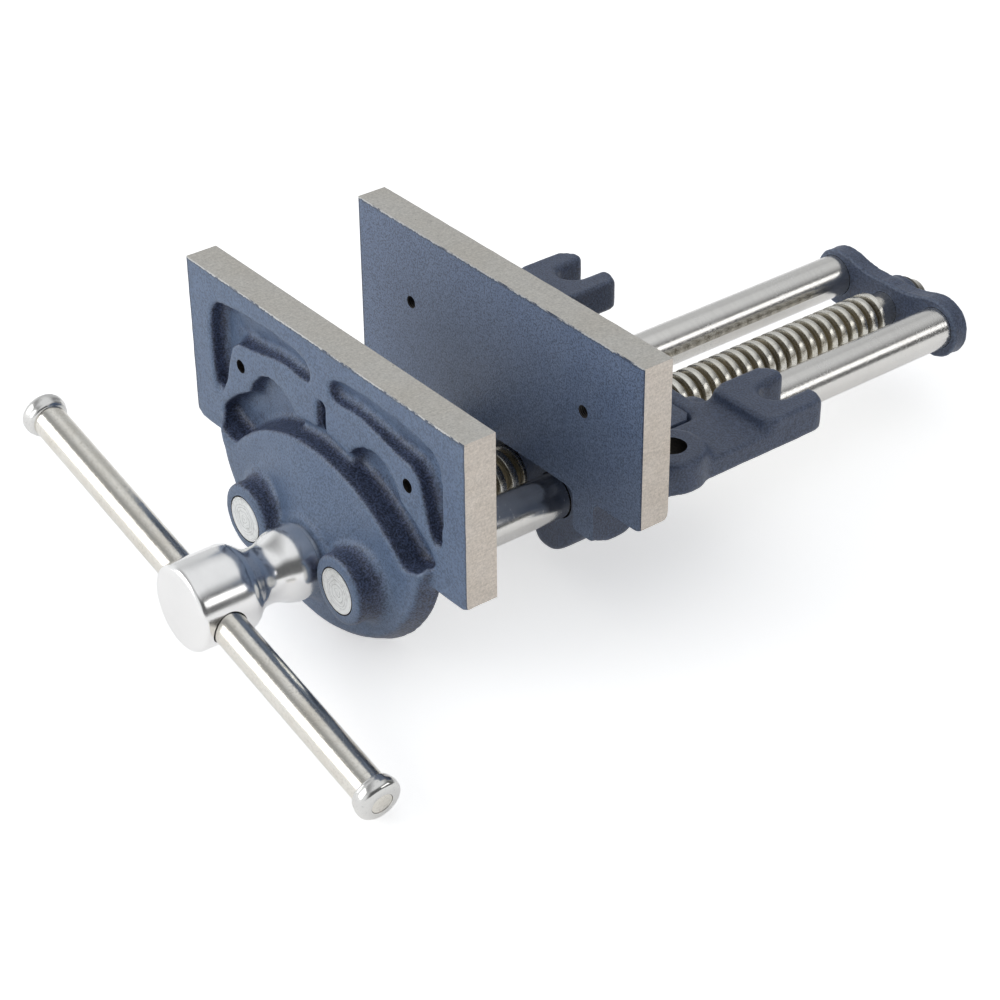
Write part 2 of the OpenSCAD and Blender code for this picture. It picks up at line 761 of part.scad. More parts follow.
module nut_screws() {
    seat = nut_flange_t - nut_screw_head_t + still_fit;
    color(dark_steel) both_sides() nut_screw_place() difference() {
        union() {
            translate([0, 0, -nut_screw_len + seat_gap])
                cylinder(d = nut_screw_d, h = nut_screw_len + seat - seat_gap + over);
            translate([0, 0, seat]) cylinder(d = nut_screw_head_d, h = nut_screw_head_t);
        }
        translate([0, 0, seat + nut_screw_head_t - hex_deep])
            cylinder(d = hex_size * 2 / sqrt(3), h = hex_deep + over, $fn = 6);
    }
}

module nut_washers() {
    color(dark_steel) both_sides() nut_screw_place()
        translate([0, 0, nut_flange_t - nut_screw_head_t - nut_washer_t]) difference() {
            cylinder(d = nut_washer_d, h = nut_washer_t);
            translate([0, 0, -over]) cylinder(d = nut_screw_d + 2 * nut_play, h = nut_washer_t + 2 * over);
        }
}

module tail_washer() {
    color(dark_steel) translate([0, 0, screw_z]) difference() {
        bar_along(tail_washer_d / 2, tail_washer_y, tail_washer_y + tail_washer_t);
        bar_along(journal_d / 2 + shank_play, tail_washer_y - over, tail_washer_y + tail_washer_t + over);
    }
}

module tail_pin() {
    color(dark_steel) on_screw() translate([0, tail_pin_y, 0]) rotate([0, 90, 0])
        cylinder(d = tail_pin_d, h = tail_pin_len, center = true);
}

front_jaw();
rear_jaw();
guide_rod_left();
guide_rod_right();
rod_front_pins();
rod_rear_pins();
end_plate();
main_screw();
screw_hub();
hub_pin();
tommy_bar();
bar_cap_left();
bar_cap_right();
thrust_washer();
screw_nut();
nut_screws();
nut_washers();
tail_washer();
tail_pin();
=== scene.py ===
"""Looks of a woodworking vise: cast and enamelled jaws, ground rods, cut thread, polished hub and bar."""

import json
import math
from contextlib import contextmanager

import bpy
import numpy as np
from bpy.props import FloatProperty, FloatVectorProperty, IntProperty
from bpy.types import Operator, Panel, PropertyGroup
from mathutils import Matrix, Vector


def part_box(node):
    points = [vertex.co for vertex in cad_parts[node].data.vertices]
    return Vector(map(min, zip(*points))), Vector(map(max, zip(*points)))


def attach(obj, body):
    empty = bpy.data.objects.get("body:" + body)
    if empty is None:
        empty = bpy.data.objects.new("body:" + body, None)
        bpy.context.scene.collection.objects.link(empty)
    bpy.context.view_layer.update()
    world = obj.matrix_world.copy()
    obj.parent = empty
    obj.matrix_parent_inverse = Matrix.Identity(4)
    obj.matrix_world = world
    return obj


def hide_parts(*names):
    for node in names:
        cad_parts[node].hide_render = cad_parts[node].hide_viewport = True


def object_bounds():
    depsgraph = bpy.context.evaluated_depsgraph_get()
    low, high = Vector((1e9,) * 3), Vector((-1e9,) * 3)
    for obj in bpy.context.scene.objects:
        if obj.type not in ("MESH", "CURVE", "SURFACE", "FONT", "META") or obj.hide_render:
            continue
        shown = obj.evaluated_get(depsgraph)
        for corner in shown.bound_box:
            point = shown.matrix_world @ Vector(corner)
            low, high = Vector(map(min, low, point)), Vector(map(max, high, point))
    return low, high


bl_info = {
    "name": "Woodworking vise looks",
    "version": (1, 0, 0),
    "blender": (4, 5, 0),
    "location": "3D Viewport > Sidebar > Vise",
    "description": "Dresses the packed vise with cast, ground and polished pieces",
    "category": "Object",
}

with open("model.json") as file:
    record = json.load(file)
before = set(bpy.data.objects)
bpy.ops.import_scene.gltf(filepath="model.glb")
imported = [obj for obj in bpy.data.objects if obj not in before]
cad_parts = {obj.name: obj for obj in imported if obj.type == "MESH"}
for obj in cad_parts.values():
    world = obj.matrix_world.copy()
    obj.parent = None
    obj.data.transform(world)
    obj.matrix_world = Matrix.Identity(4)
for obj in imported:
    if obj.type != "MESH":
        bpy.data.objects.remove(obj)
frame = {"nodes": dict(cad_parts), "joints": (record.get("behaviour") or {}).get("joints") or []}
CAD_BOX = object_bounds()

MM = 0.001


def middle(node):
    """Centre of a node's box."""
    low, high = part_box(node)
    return (low + high) / 2


JAW_LOW, JAW_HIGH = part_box("front_jaw")
FIXED_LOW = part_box("rear_jaw")[0]
ROD_LOW, ROD_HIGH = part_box("guide_rod_right")
HUB_LOW, HUB_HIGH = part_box("screw_hub")
SCREW_LOW, SCREW_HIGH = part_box("main_screw")
PLATE_LOW, PLATE_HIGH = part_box("end_plate")

ROD_X = middle("guide_rod_right").x
ROD_Z = middle("guide_rod_right").z
ROD_R = (ROD_HIGH.x - ROD_LOW.x) / 2
SCREW_Z = middle("main_screw").z
SCREW_R = (SCREW_HIGH.x - SCREW_LOW.x) / 2
TOP_Z = JAW_HIGH.z
END_X = JAW_HIGH.x
FRONT_BACK_Y = JAW_HIGH.y
FRONT_THICK = 13.5 * MM
FRONT_FACE_Y = FRONT_BACK_Y - FRONT_THICK
REAR_FRONT_Y = FIXED_LOW.y
REAR_THICK = 13 * MM
REAR_BACK_Y = REAR_FRONT_Y + REAR_THICK
JAW_HEIGHT = 70.5 * MM
JAW_LOW_Z = TOP_Z - JAW_HEIGHT
# Screw holes for the wooden liners, and bolt holes in the base
LINER_X = 53.5 * MM
LINER_Z = TOP_Z - 33.5 * MM
LINER_R = 2.75 * MM
BOLT_X = 68 * MM
BOLT_R = 6 * MM
# Where the screw's shank takes over from the spigot in the hub, and where its thread starts and ends
SHANK_Y = -0.1246
THREAD_START_Y = -0.0906
THREAD_END_Y = 0.175
SHANK_R = 7.5 * MM
BAR_AXIS_Y = -0.167
# Stock that is left on a milled face, and spare length of a cutter
SPARE = 6 * MM
# Extra metal round a bore before it is drilled, also round the smaller ones for liners and bolts
OVER = 1.6 * MM
LINER_FILL_R = 4.2 * MM
BOLT_FILL_R = 7.5 * MM
# Points closer than this are one point
SAME_POINT = 2e-6


def length(name, text, value, low=0.0):
    return FloatProperty(name=name, description=text, default=value, min=low, unit="LENGTH", precision=5)


def colour(name, text, value):
    return FloatVectorProperty(
        name=name, description=text, default=value, size=3, min=0.0, max=1.0, subtype="COLOR"
    )


def share(name, text, value):
    return FloatProperty(name=name, description=text, default=value, min=0.0, max=1.0, subtype="FACTOR")


def power(name, text, value):
    return FloatProperty(name=name, description=text, default=value, min=0.0, unit="POWER")


class ViseCastings(PropertyGroup):
    jaw_grain: length("Moving jaw voxel", "Size of the moving jaw's surface cells", 0.75 * MM, 0.3 * MM)
    fixed_grain: length("Fixed jaw voxel", "Size of the fixed jaw's surface cells", 1.0 * MM, 0.3 * MM)
    plate_grain: length("End plate voxel", "Size of the end plate's surface cells", 0.5 * MM, 0.3 * MM)
    jaw_fillet: length("Pocket fillet", "Radius of the inner corners in the moving jaw", 1.8 * MM)
    fixed_fillet: length("Base fillet", "Radius of the inner corners in the fixed jaw", 1.8 * MM)
    plate_fillet: length("End plate fillet", "Radius of the inner corners in the end plate", 1.2 * MM)
    jaw_round: length("Moving jaw rounding", "Radius of the outer edges of the moving jaw", 0.9 * MM)
    fixed_round: length("Fixed jaw rounding", "Radius of the outer edges of the fixed jaw", 1.0 * MM)
    plate_round: length("End plate rounding", "Radius of the outer edges of the end plate", 1.0 * MM)
    swell: length("Sand mould waviness", "How far the cast skin wanders", 0.35 * MM)
    bore_gap: length("Bore gap", "Dark ring left between a rod's end and its boss", 0.5 * MM)


class VisePaint(PropertyGroup):
    flat_tone: colour("Enamel", "Enamel on the moving jaw's raised flats", (0.100, 0.147, 0.240))
    # Painted shade: the body has the same enamel as the moving jaw, toned darker for its shaded upward faces
    shaded_body_tone: colour("Shaded enamel of the body", "Enamel on the fixed jaw and end plate, darkened as painted shade", (0.066, 0.088, 0.146))
    # Painted sheen: the inner faces have the same enamel, toned lighter for the floor's reflection in them
    lit_faced_tone: colour("Enamel on faces, with painted sheen", "Enamel on the jaws' inner faces, lightened as painted sheen", (0.118, 0.162, 0.258))
    wall_shade_tone: colour("Painted shade on the walls", "Enamel darkened as painted shade on the casting's steep walls", (0.052, 0.067, 0.118))
    pocket_paint_and_shade_tone: colour("Darker enamel and painted shade in the pockets", "Darker enamel and painted shade in the depth of the pockets", (0.030, 0.038, 0.074))
    worn_tone: colour("Worn edge", "Enamel rubbed thin on the edges", (0.19, 0.24, 0.33))
    grit: length("Grain of the enamel", "Size of the grains in the enamel", 0.75 * MM)
    grain_depth: length("Depth of the grain", "Height of the grains in the enamel", 0.22 * MM)
    top_tone: colour("Milled top", "Bare milled top edges of the jaws", (0.64, 0.62, 0.58))
    end_tone: colour("Milled end", "Bare milled ends of the jaws", (0.66, 0.60, 0.54))
    chip_tone: colour("Chipped rim", "Bright iron where the paint has chipped off", (0.62, 0.62, 0.60))


class ViseSteel(PropertyGroup):
    rod_tone: colour("Ground rod", "Ground and polished rods", (0.76, 0.74, 0.71))
    rod_end_tone: colour("Rod end", "Faced ends of the rods", (0.84, 0.85, 0.84))
    bar_tone: colour("Handle bar", "Drawn handle bar", (0.80, 0.775, 0.72))
    hub_tone: colour("Plated hub", "Polished and plated hub", (0.94, 0.93, 0.92))
    cap_tone: colour("Bar caps", "Plated bar caps", (0.76, 0.75, 0.73))
    screw_tone: colour("Thread crests", "Turned crests of the thread", (0.78, 0.76, 0.70))
    grease_tone: colour("Old grease", "Grease in the roots of the thread", (0.15, 0.127, 0.082))
    black_tone: colour("Oiled steel", "Pins, washers and nut screws", (0.07, 0.07, 0.068))
    pitch: length("Thread pitch", "Distance between two turns of the thread", 6 * MM, 1 * MM)
    crest: length("Thread crest", "Width of the thread's crest", 3.1 * MM, 0.5 * MM)
    thread_depth: length("Thread depth", "Depth of the thread", 2.6 * MM, 0.5 * MM)
    sides: IntProperty(name="Sides", description="Sides of a turned piece", default=128, min=24, max=256)


class ViseStage(PropertyGroup):
    floor_tone: colour("Floor", "Pale studio floor", (0.86, 0.86, 0.86))
    floor_glow: share("Floor glow", "White added to the floor where the camera sees it", 0.55)
    gloss_glow: share("Floor glow in metal", "White added to the floor where metal reflects it", 0.3)
    camera_place: FloatVectorProperty(
        name="Camera", description="Where the camera stands", size=3, subtype="TRANSLATION", unit="LENGTH",
        default=(683.62 * MM, -559.23 * MM, 520.59 * MM),
    )
    camera_turn: FloatVectorProperty(
        name="Camera turn", description="How the camera is turned", size=3, subtype="EULER", unit="ROTATION",
        default=(math.radians(56.7139), math.radians(0.4153), math.radians(51.9364)),
    )
    lens_mm: FloatProperty(name="Lens", description="Focal length in mm on a 36 mm sensor", default=93.65)
    front_power: power("Front lamp", "Power of the lamp at the front left", 9.0)
    strip_power: power("Strip lamp", "Power of the low strip on the right", 2.6)
    dark_room: share("Dark side of the room", "Brightness of the room on the right", 0.12)
    pale_room: share("Pale side of the room", "Brightness of the room on the left", 0.62)
    front_room: share("Front of the room", "Brightness of the room at the front left", 0.9)
    ceiling: share("Ceiling", "Brightness of the room overhead", 0.85)


def clear_selection():
    if bpy.context.mode != "OBJECT":
        bpy.ops.object.mode_set(mode="OBJECT")
    bpy.ops.object.select_all(action="DESELECT")


def pick(piece):
    clear_selection()
    piece.hide_set(False)
    piece.select_set(True)
    bpy.context.view_layer.objects.active = piece


@contextmanager
def editing(piece, choose="SELECT", kind="VERT"):
    """Opens a piece in edit mode with all of it chosen, or none, and closes it again."""
    pick(piece)
    bpy.ops.object.mode_set(mode="EDIT")
    bpy.ops.mesh.select_mode(type=kind)
    bpy.ops.mesh.select_all(action=choose)
    yield
    bpy.ops.object.mode_set(mode="OBJECT")


def move_corners(piece, chosen, by):
    """Moves those corners of a piece for which chosen, a test of their place, holds."""
    with editing(piece, "DESELECT"):
        pass
    for corner in piece.data.vertices:
        corner.select = chosen(corner.co)
    bpy.ops.object.mode_set(mode="EDIT")
    bpy.ops.transform.translate(value=by)
    bpy.ops.object.mode_set(mode="OBJECT")


def settle(name):
    """Names the new piece and puts its place into its mesh."""
    piece = bpy.context.active_object
    piece.name = name
    piece.data.name = name
    bpy.ops.object.transform_apply(location=True, rotation=True, scale=True)
    return piece


def block(name, low, high):
    low, high = Vector(low), Vector(high)
    clear_selection()
    bpy.ops.mesh.primitive_cube_add(size=1, location=(low + high) / 2, scale=high - low)
    return settle(name)


def plug(name, radius, start, end, sides=96):
    """Plain cylinder from one point to another."""
    start, end = Vector(start), Vector(end)
    along = end - start
    clear_selection()
    bpy.ops.mesh.primitive_cylinder_add(
        vertices=sides, radius=radius, depth=along.length, location=(start + end) / 2,
        rotation=along.to_track_quat("Z", "Y").to_euler(),
    )
    return settle(name)


def modify(piece, kind, **values):
    """Adds a modifier, sets it and applies it."""
    pick(piece)
    bpy.ops.object.modifier_add(type=kind)
    added = piece.modifiers[-1]
    for key, value in values.items():
        setattr(added, key, value)
    bpy.ops.object.modifier_apply(modifier=added.name)


def join(piece, others):
    pick(piece)
    for other in others:
        other.select_set(True)
    bpy.ops.object.join()


def discard(pieces):
    clear_selection()
    for piece in pieces:
        piece.select_set(True)
    bpy.ops.object.delete()


def cut(piece, tools, operation="DIFFERENCE"):
    for tool in tools:
        modify(piece, "BOOLEAN", object=tool, operation=operation, solver="MANIFOLD")
    discard(tools)


def drill(piece, tools, finish):
    """Bores the holes, or mills a face away, and gives what the tool leaves a finish of its own."""
    for tool in tools:
        coat_slots(tool, [finish])
        modify(
            piece, "BOOLEAN", object=tool, operation="DIFFERENCE", solver="MANIFOLD",
            material_mode="TRANSFER",
        )
    discard(tools)


def merged_copy(node, name):
    """Copy of a CAD node's mesh with its loose triangles merged."""
    source = frame["nodes"][node]
    made = bpy.data.objects.new(name, source.data.copy())
    bpy.context.scene.collection.objects.link(made)
    made.data.materials.clear()
    for key in list(made.data.attributes.keys()):
        if key.startswith("custom_normal") or key == "sharp_face":
            made.data.attributes.remove(made.data.attributes[key])
    with editing(made):
        bpy.ops.mesh.remove_doubles(threshold=SAME_POINT)
    return made


def leave_stock(piece, point, outward):
    """Moves the points on a plane outwards, so that a milled face can be cut back to it later."""
    point, outward = Vector(point), Vector(outward)
    move_corners(piece, lambda at: abs((at - point).dot(outward)) < 0.01 * MM, SPARE * outward)


def mill(piece, point, outward, finish):
    """Cuts back to a plane, and gives the flat face that is left a finish of its own."""
    point, outward = Vector(point), Vector(outward)
    beyond = Vector((0.4, 0.4, 0.4))
    low, high = point - beyond, point + beyond
    for i in range(3):
        if outward[i] > 0.5:
            low[i] = point[i]
        if outward[i] < -0.5:
            high[i] = point[i]
    drill(piece, [block("mill_cut", low, high)], finish)


def cast_skin(piece, voxel, fillet, rounding, swell, rounds=3, tools=()):
    """Turns a sharp solid into a sand casting: coved corners, rounded edges and a slightly wavy skin."""
    modify(piece, "REMESH", mode="VOXEL", voxel_size=voxel, adaptivity=0.0)
    cut(piece, list(tools))
    for shift in (fillet, -fillet - rounding, rounding):
        modify(piece, "DISPLACE", strength=shift, mid_level=0.0)
        modify(piece, "REMESH", mode="VOXEL", voxel_size=voxel, adaptivity=0.0)
    modify(piece, "SMOOTH", factor=0.5, iterations=rounds)
    waves = bpy.data.textures.new(piece.name + "_waves", "CLOUDS")
    waves.noise_scale = 0.009
    waves.noise_depth = 2
    modify(piece, "DISPLACE", texture=waves, texture_coords="LOCAL", strength=swell, mid_level=0.5)
    bpy.data.textures.remove(waves)


def soften(piece, angle=35):
    pick(piece)
    bpy.ops.object.shade_smooth_by_angle(angle=math.radians(angle))


def face_out(piece):
    with editing(piece):
        bpy.ops.mesh.normals_make_consistent(inside=False)


def lathe(name, profile, height, sides):
    """Turned piece about a line along Y: a disc, extruded and resized along a profile of radius and y."""
    radius, y = profile[0]
    clear_selection()
    bpy.ops.mesh.primitive_circle_add(
        vertices=sides, radius=radius, fill_type="NGON", location=(0, y, height),
        rotation=(math.radians(90), 0, 0),
    )
    piece = settle(name)
    with editing(piece, kind="FACE"):
        for next_radius, next_y in profile[1:]:
            bpy.ops.mesh.extrude_region_move(TRANSFORM_OT_translate={"value": (0, next_y - y, 0)})
            scale = next_radius / radius
            bpy.ops.transform.resize(value=(scale, 1, scale), center_override=(0, next_y, height))
            radius, y = next_radius, next_y
        bpy.ops.mesh.select_all(action="SELECT")
        bpy.ops.mesh.normals_make_consistent(inside=False)
    return piece


def mark_relief(piece, fine=3, broad=80):
    """Stores on each point how far it stands out, how hollow it lies and how steep it is, for paint and
    painted shade.
    """
    mesh = piece.data
    count = len(mesh.vertices)
    place = np.empty(count * 3)
    mesh.vertices.foreach_get("co", place)
    place = place.reshape(-1, 3)
    normal = np.empty(count * 3)
    mesh.vertices.foreach_get("normal", normal)
    normal = normal.reshape(-1, 3)
    pairs = np.empty(len(mesh.edges) * 2, int)
    mesh.edges.foreach_get("vertices", pairs)
    a, b = pairs.reshape(-1, 2).T
    step = place[b] - place[a]
    reach = np.linalg.norm(step, axis=1)
    keep = reach < 3 * MM
    a, b, step, reach = a[keep], b[keep], step[keep], reach[keep]
    degree = np.bincount(a, minlength=count) + np.bincount(b, minlength=count)
    degree = np.maximum(degree, 1)
    lean = -np.einsum("ij,ij->i", step, normal[a]) / np.maximum(reach, 1e-9) ** 2
    lean_back = np.einsum("ij,ij->i", step, normal[b]) / np.maximum(reach, 1e-9) ** 2
    relief = (np.bincount(a, lean, count) + np.bincount(b, lean_back, count)) / degree

    def spread(values, rounds):
        for _ in range(rounds):
            near = (np.bincount(a, values[b], count) + np.bincount(b, values[a], count)) / degree
            values = 0.4 * values + 0.6 * near
        return values

    edge = spread(relief, fine)
    hollow = spread(np.clip(relief, -600, 600), broad)
    # Painted shade: hollows that face up or to the right, away from the front lamp, count as deeper
    hollow *= 0.75 + 0.35 * spread(normal[:, 2], 2) + 0.2 * spread(normal[:, 0], 2)
    steep = 1 - spread(np.abs(normal[:, 1]), 2)
    for key, values in (("edge", edge / 250), ("hollow", -hollow / 60), ("steep", steep)):
        stored = mesh.attributes.new(key, "FLOAT", "POINT")
        stored.data.foreach_set("value", np.clip(values, -1, 1).astype(np.float32))


def mark_sunk(piece, reach=17 * MM, cell=1 * MM, full=7 * MM):
    """Stores on each point how far it lies behind the raised forms round it, seen from the front."""
    mesh = piece.data
    count = len(mesh.vertices)
    place = np.empty(count * 3)
    mesh.vertices.foreach_get("co", place)
    place = place.reshape(-1, 3)
    low = place.min(axis=0)
    column = ((place[:, 0] - low[0]) / cell).astype(int)
    row = ((place[:, 2] - low[2]) / cell).astype(int)
    back = place[:, 1].max()
    front = np.full((column.max() + 1, row.max() + 1), back)
    np.minimum.at(front, (column, row), place[:, 1])

    def sweep(field, pick_one, beyond):
        span = int(reach / cell)
        for axis in (0, 1):
            margins = [(span, span) if i == axis else (0, 0) for i in (0, 1)]
            wide = np.pad(field, margins, constant_values=beyond)
            size = field.shape[axis]
            field = pick_one.reduce([wide.take(range(i, i + size), axis=axis) for i in range(2 * span + 1)])
        return field

    covered = sweep(sweep(front, np.minimum, back), np.maximum, low[1])
    sunk = np.clip((place[:, 1] - covered[column, row]) / full, 0, 1)
    stored = mesh.attributes.new("sunk", "FLOAT", "POINT")
    stored.data.foreach_set("value", sunk.astype(np.float32))


class Sheet:
    """A node tree that is filled from left to right."""

    def __init__(self, tree):
        self.tree = tree
        self.column = 0

    def node(self, kind, inputs=None, **settings):
        made = self.tree.nodes.new(kind)
        made.location = (self.column * 180, 0)
        self.column += 1
        for key, value in settings.items():
            setattr(made, key, value)
        for key, value in (inputs or {}).items():
            self.feed(made.inputs[key], value)
        return made

    def feed(self, socket, value):
        if isinstance(value, bpy.types.NodeSocket):
            self.tree.links.new(value, socket)
        elif isinstance(value, (tuple, list)) and len(value) == 3 and len(socket.default_value) == 4:
            socket.default_value = (*value, 1)
        else:
            socket.default_value = value

    def math(self, operation, a, b=0.0):
        return self.node("ShaderNodeMath", {0: a, 1: b}, operation=operation).outputs[0]

    def plus(self, a, b):
        return self.math("ADD", a, b)

    def times(self, a, b):
        return self.math("MULTIPLY", a, b)

    def ramp(self, value, low, high, to_low=0.0, to_high=1.0):
        made = self.node(
            "ShaderNodeMapRange",
            {"Value": value, "From Min": low, "From Max": high, "To Min": to_low, "To Max": to_high},
            clamp=True,
        )
        return made.outputs["Result"]

    def blend(self, factor, a, b, kind="MIX"):
        made = self.node("ShaderNodeMix", data_type="RGBA", blend_type=kind)
        self.feed(made.inputs[0], factor)
        self.feed(made.inputs[6], a)
        self.feed(made.inputs[7], b)
        return made.outputs[2]

    def noise(self, place, scale, detail=3.0, rough=0.5):
        given = {"Vector": place, "Scale": scale, "Detail": detail, "Roughness": rough}
        return self.node("ShaderNodeTexNoise", given).outputs["Fac"]

    def stretched(self, place, scale):
        return self.node("ShaderNodeMapping", {"Vector": place, "Scale": scale}).outputs[0]


def group(name, inputs, outputs):
    """New shader group with named inputs and outputs, as (sheet, its input node, tree)."""
    tree = bpy.data.node_groups.new(name, "ShaderNodeTree")
    for socket, kind, default in inputs:
        made = tree.interface.new_socket(socket, in_out="INPUT", socket_type="NodeSocket" + kind)
        if default is not None:
            made.default_value = default
    for socket, kind in outputs:
        tree.interface.new_socket(socket, in_out="OUTPUT", socket_type="NodeSocket" + kind)
    sheet = Sheet(tree)
    return sheet, sheet.node("NodeGroupInput"), tree


def close_group(sheet, **results):
    out = sheet.node("NodeGroupOutput")
    for key, value in results.items():
        sheet.feed(out.inputs[key.replace("_", " ")], value)


def made_once(kind, name):
    """For a function that builds a material or group: hands out the one of that name if it is there."""

    def keep(build):
        def found():
            store = getattr(bpy.data, kind)
            return store[name] if name in store else build(name)

        return found

    return keep


@made_once("node_groups", "enamel grain")
def enamel_grain(name):
    """Fine grains and broad mottling of the textured enamel."""
    sheet, given, tree = group(
        name,
        [("Place", "Vector", None), ("Size", "Float", 0.001)],
        [("Height", "Float"), ("Speck", "Float"), ("Mottle", "Float"), ("Clump", "Float")],
    )
    place = given.outputs["Place"]
    rate = sheet.math("DIVIDE", 1.0, given.outputs["Size"])
    grains = sheet.noise(place, rate, 1.0, 0.6)
    lumps = sheet.noise(place, sheet.times(rate, 0.42), 2.0, 0.55)
    clump = sheet.noise(place, sheet.times(rate, 0.16), 3.0, 0.6)
    broad = sheet.noise(place, sheet.times(rate, 0.035), 3.0, 0.6)
    height = sheet.plus(sheet.times(grains, 0.8), sheet.times(lumps, 0.2))
    speck = sheet.ramp(height, 0.38, 0.62, -1.0, 1.0)
    close_group(sheet, Height=height, Speck=speck, Mottle=broad, Clump=clump)
    return tree


@made_once("node_groups", "rub lines")
def rub_lines(name):
    """Fine parallel scratches along one direction, from a stretched noise."""
    sheet, given, tree = group(
        name,
        [("Place", "Vector", None), ("Stretch", "Vector", (1, 1, 1))],
        [("Lines", "Float"), ("Bands", "Float")],
    )
    place = sheet.stretched(given.outputs["Place"], given.outputs["Stretch"])
    fine = sheet.noise(place, 1.0, 3.0, 0.65)
    wide = sheet.noise(place, 0.22, 2.0, 0.5)
    close_group(sheet, Lines=fine, Bands=wide)
    return tree


@made_once("node_groups", "turned marks")
def turned_marks(name):
    """Distance from a line along Y, and even and uneven rings round it."""
    sheet, given, tree = group(
        name,
        [
            ("Place", "Vector", None), ("Centre X", "Float", 0.0), ("Centre Z", "Float", 0.0),
            ("Spacing", "Float", 0.0005), ("Wander", "Float", 1.0),
        ],
        [("Radius", "Float"), ("Rings", "Float"), ("Uneven", "Float")],
    )
    parts = sheet.node("ShaderNodeSeparateXYZ", {0: given.outputs["Place"]})
    x = sheet.math("SUBTRACT", parts.outputs[0], given.outputs["Centre X"])
    z = sheet.math("SUBTRACT", parts.outputs[2], given.outputs["Centre Z"])
    radius = sheet.math("SQRT", sheet.plus(sheet.times(x, x), sheet.times(z, z)))
    wander = sheet.times(sheet.noise(given.outputs["Place"], 260.0, 2.0), given.outputs["Spacing"])
    wander = sheet.times(wander, given.outputs["Wander"])
    turn = sheet.math("DIVIDE", sheet.plus(radius, wander), given.outputs["Spacing"])
    rings = sheet.math("SINE", sheet.times(turn, 2 * math.pi))
    along = sheet.node("ShaderNodeCombineXYZ", {0: turn}).outputs[0]
    uneven = sheet.noise(along, 1.6, 3.0, 0.7)
    close_group(sheet, Radius=radius, Rings=rings, Uneven=uneven)
    return tree


def material(name):
    """New material, as (material, its sheet, Object coordinates)."""
    made = bpy.data.materials.new(name)
    made.use_nodes = True
    tree = made.node_tree
    tree.nodes.clear()
    sheet = Sheet(tree)
    place = sheet.node("ShaderNodeTexCoord").outputs["Object"]
    return made, sheet, place


def surface(sheet, tone, rough, bump, bump_depth, metallic=1.0):
    """Ends a material: its colour, roughness, bumps and how metallic it is."""
    shader = sheet.node(
        "ShaderNodeBsdfPrincipled", {"Base Color": tone, "Roughness": rough, "Metallic": metallic}
    )
    relief = sheet.node("ShaderNodeBump", {"Height": bump, "Distance": bump_depth, "Strength": 1.0})
    sheet.feed(shader.inputs["Normal"], relief.outputs[0])
    out = sheet.node("ShaderNodeOutputMaterial")
    sheet.tree.links.new(shader.outputs[0], out.inputs[0])


def use_group(sheet, tree, **inputs):
    made = sheet.node("ShaderNodeGroup", node_tree=tree)
    for key, value in inputs.items():
        sheet.feed(made.inputs[key.replace("_", " ")], value)
    return made.outputs


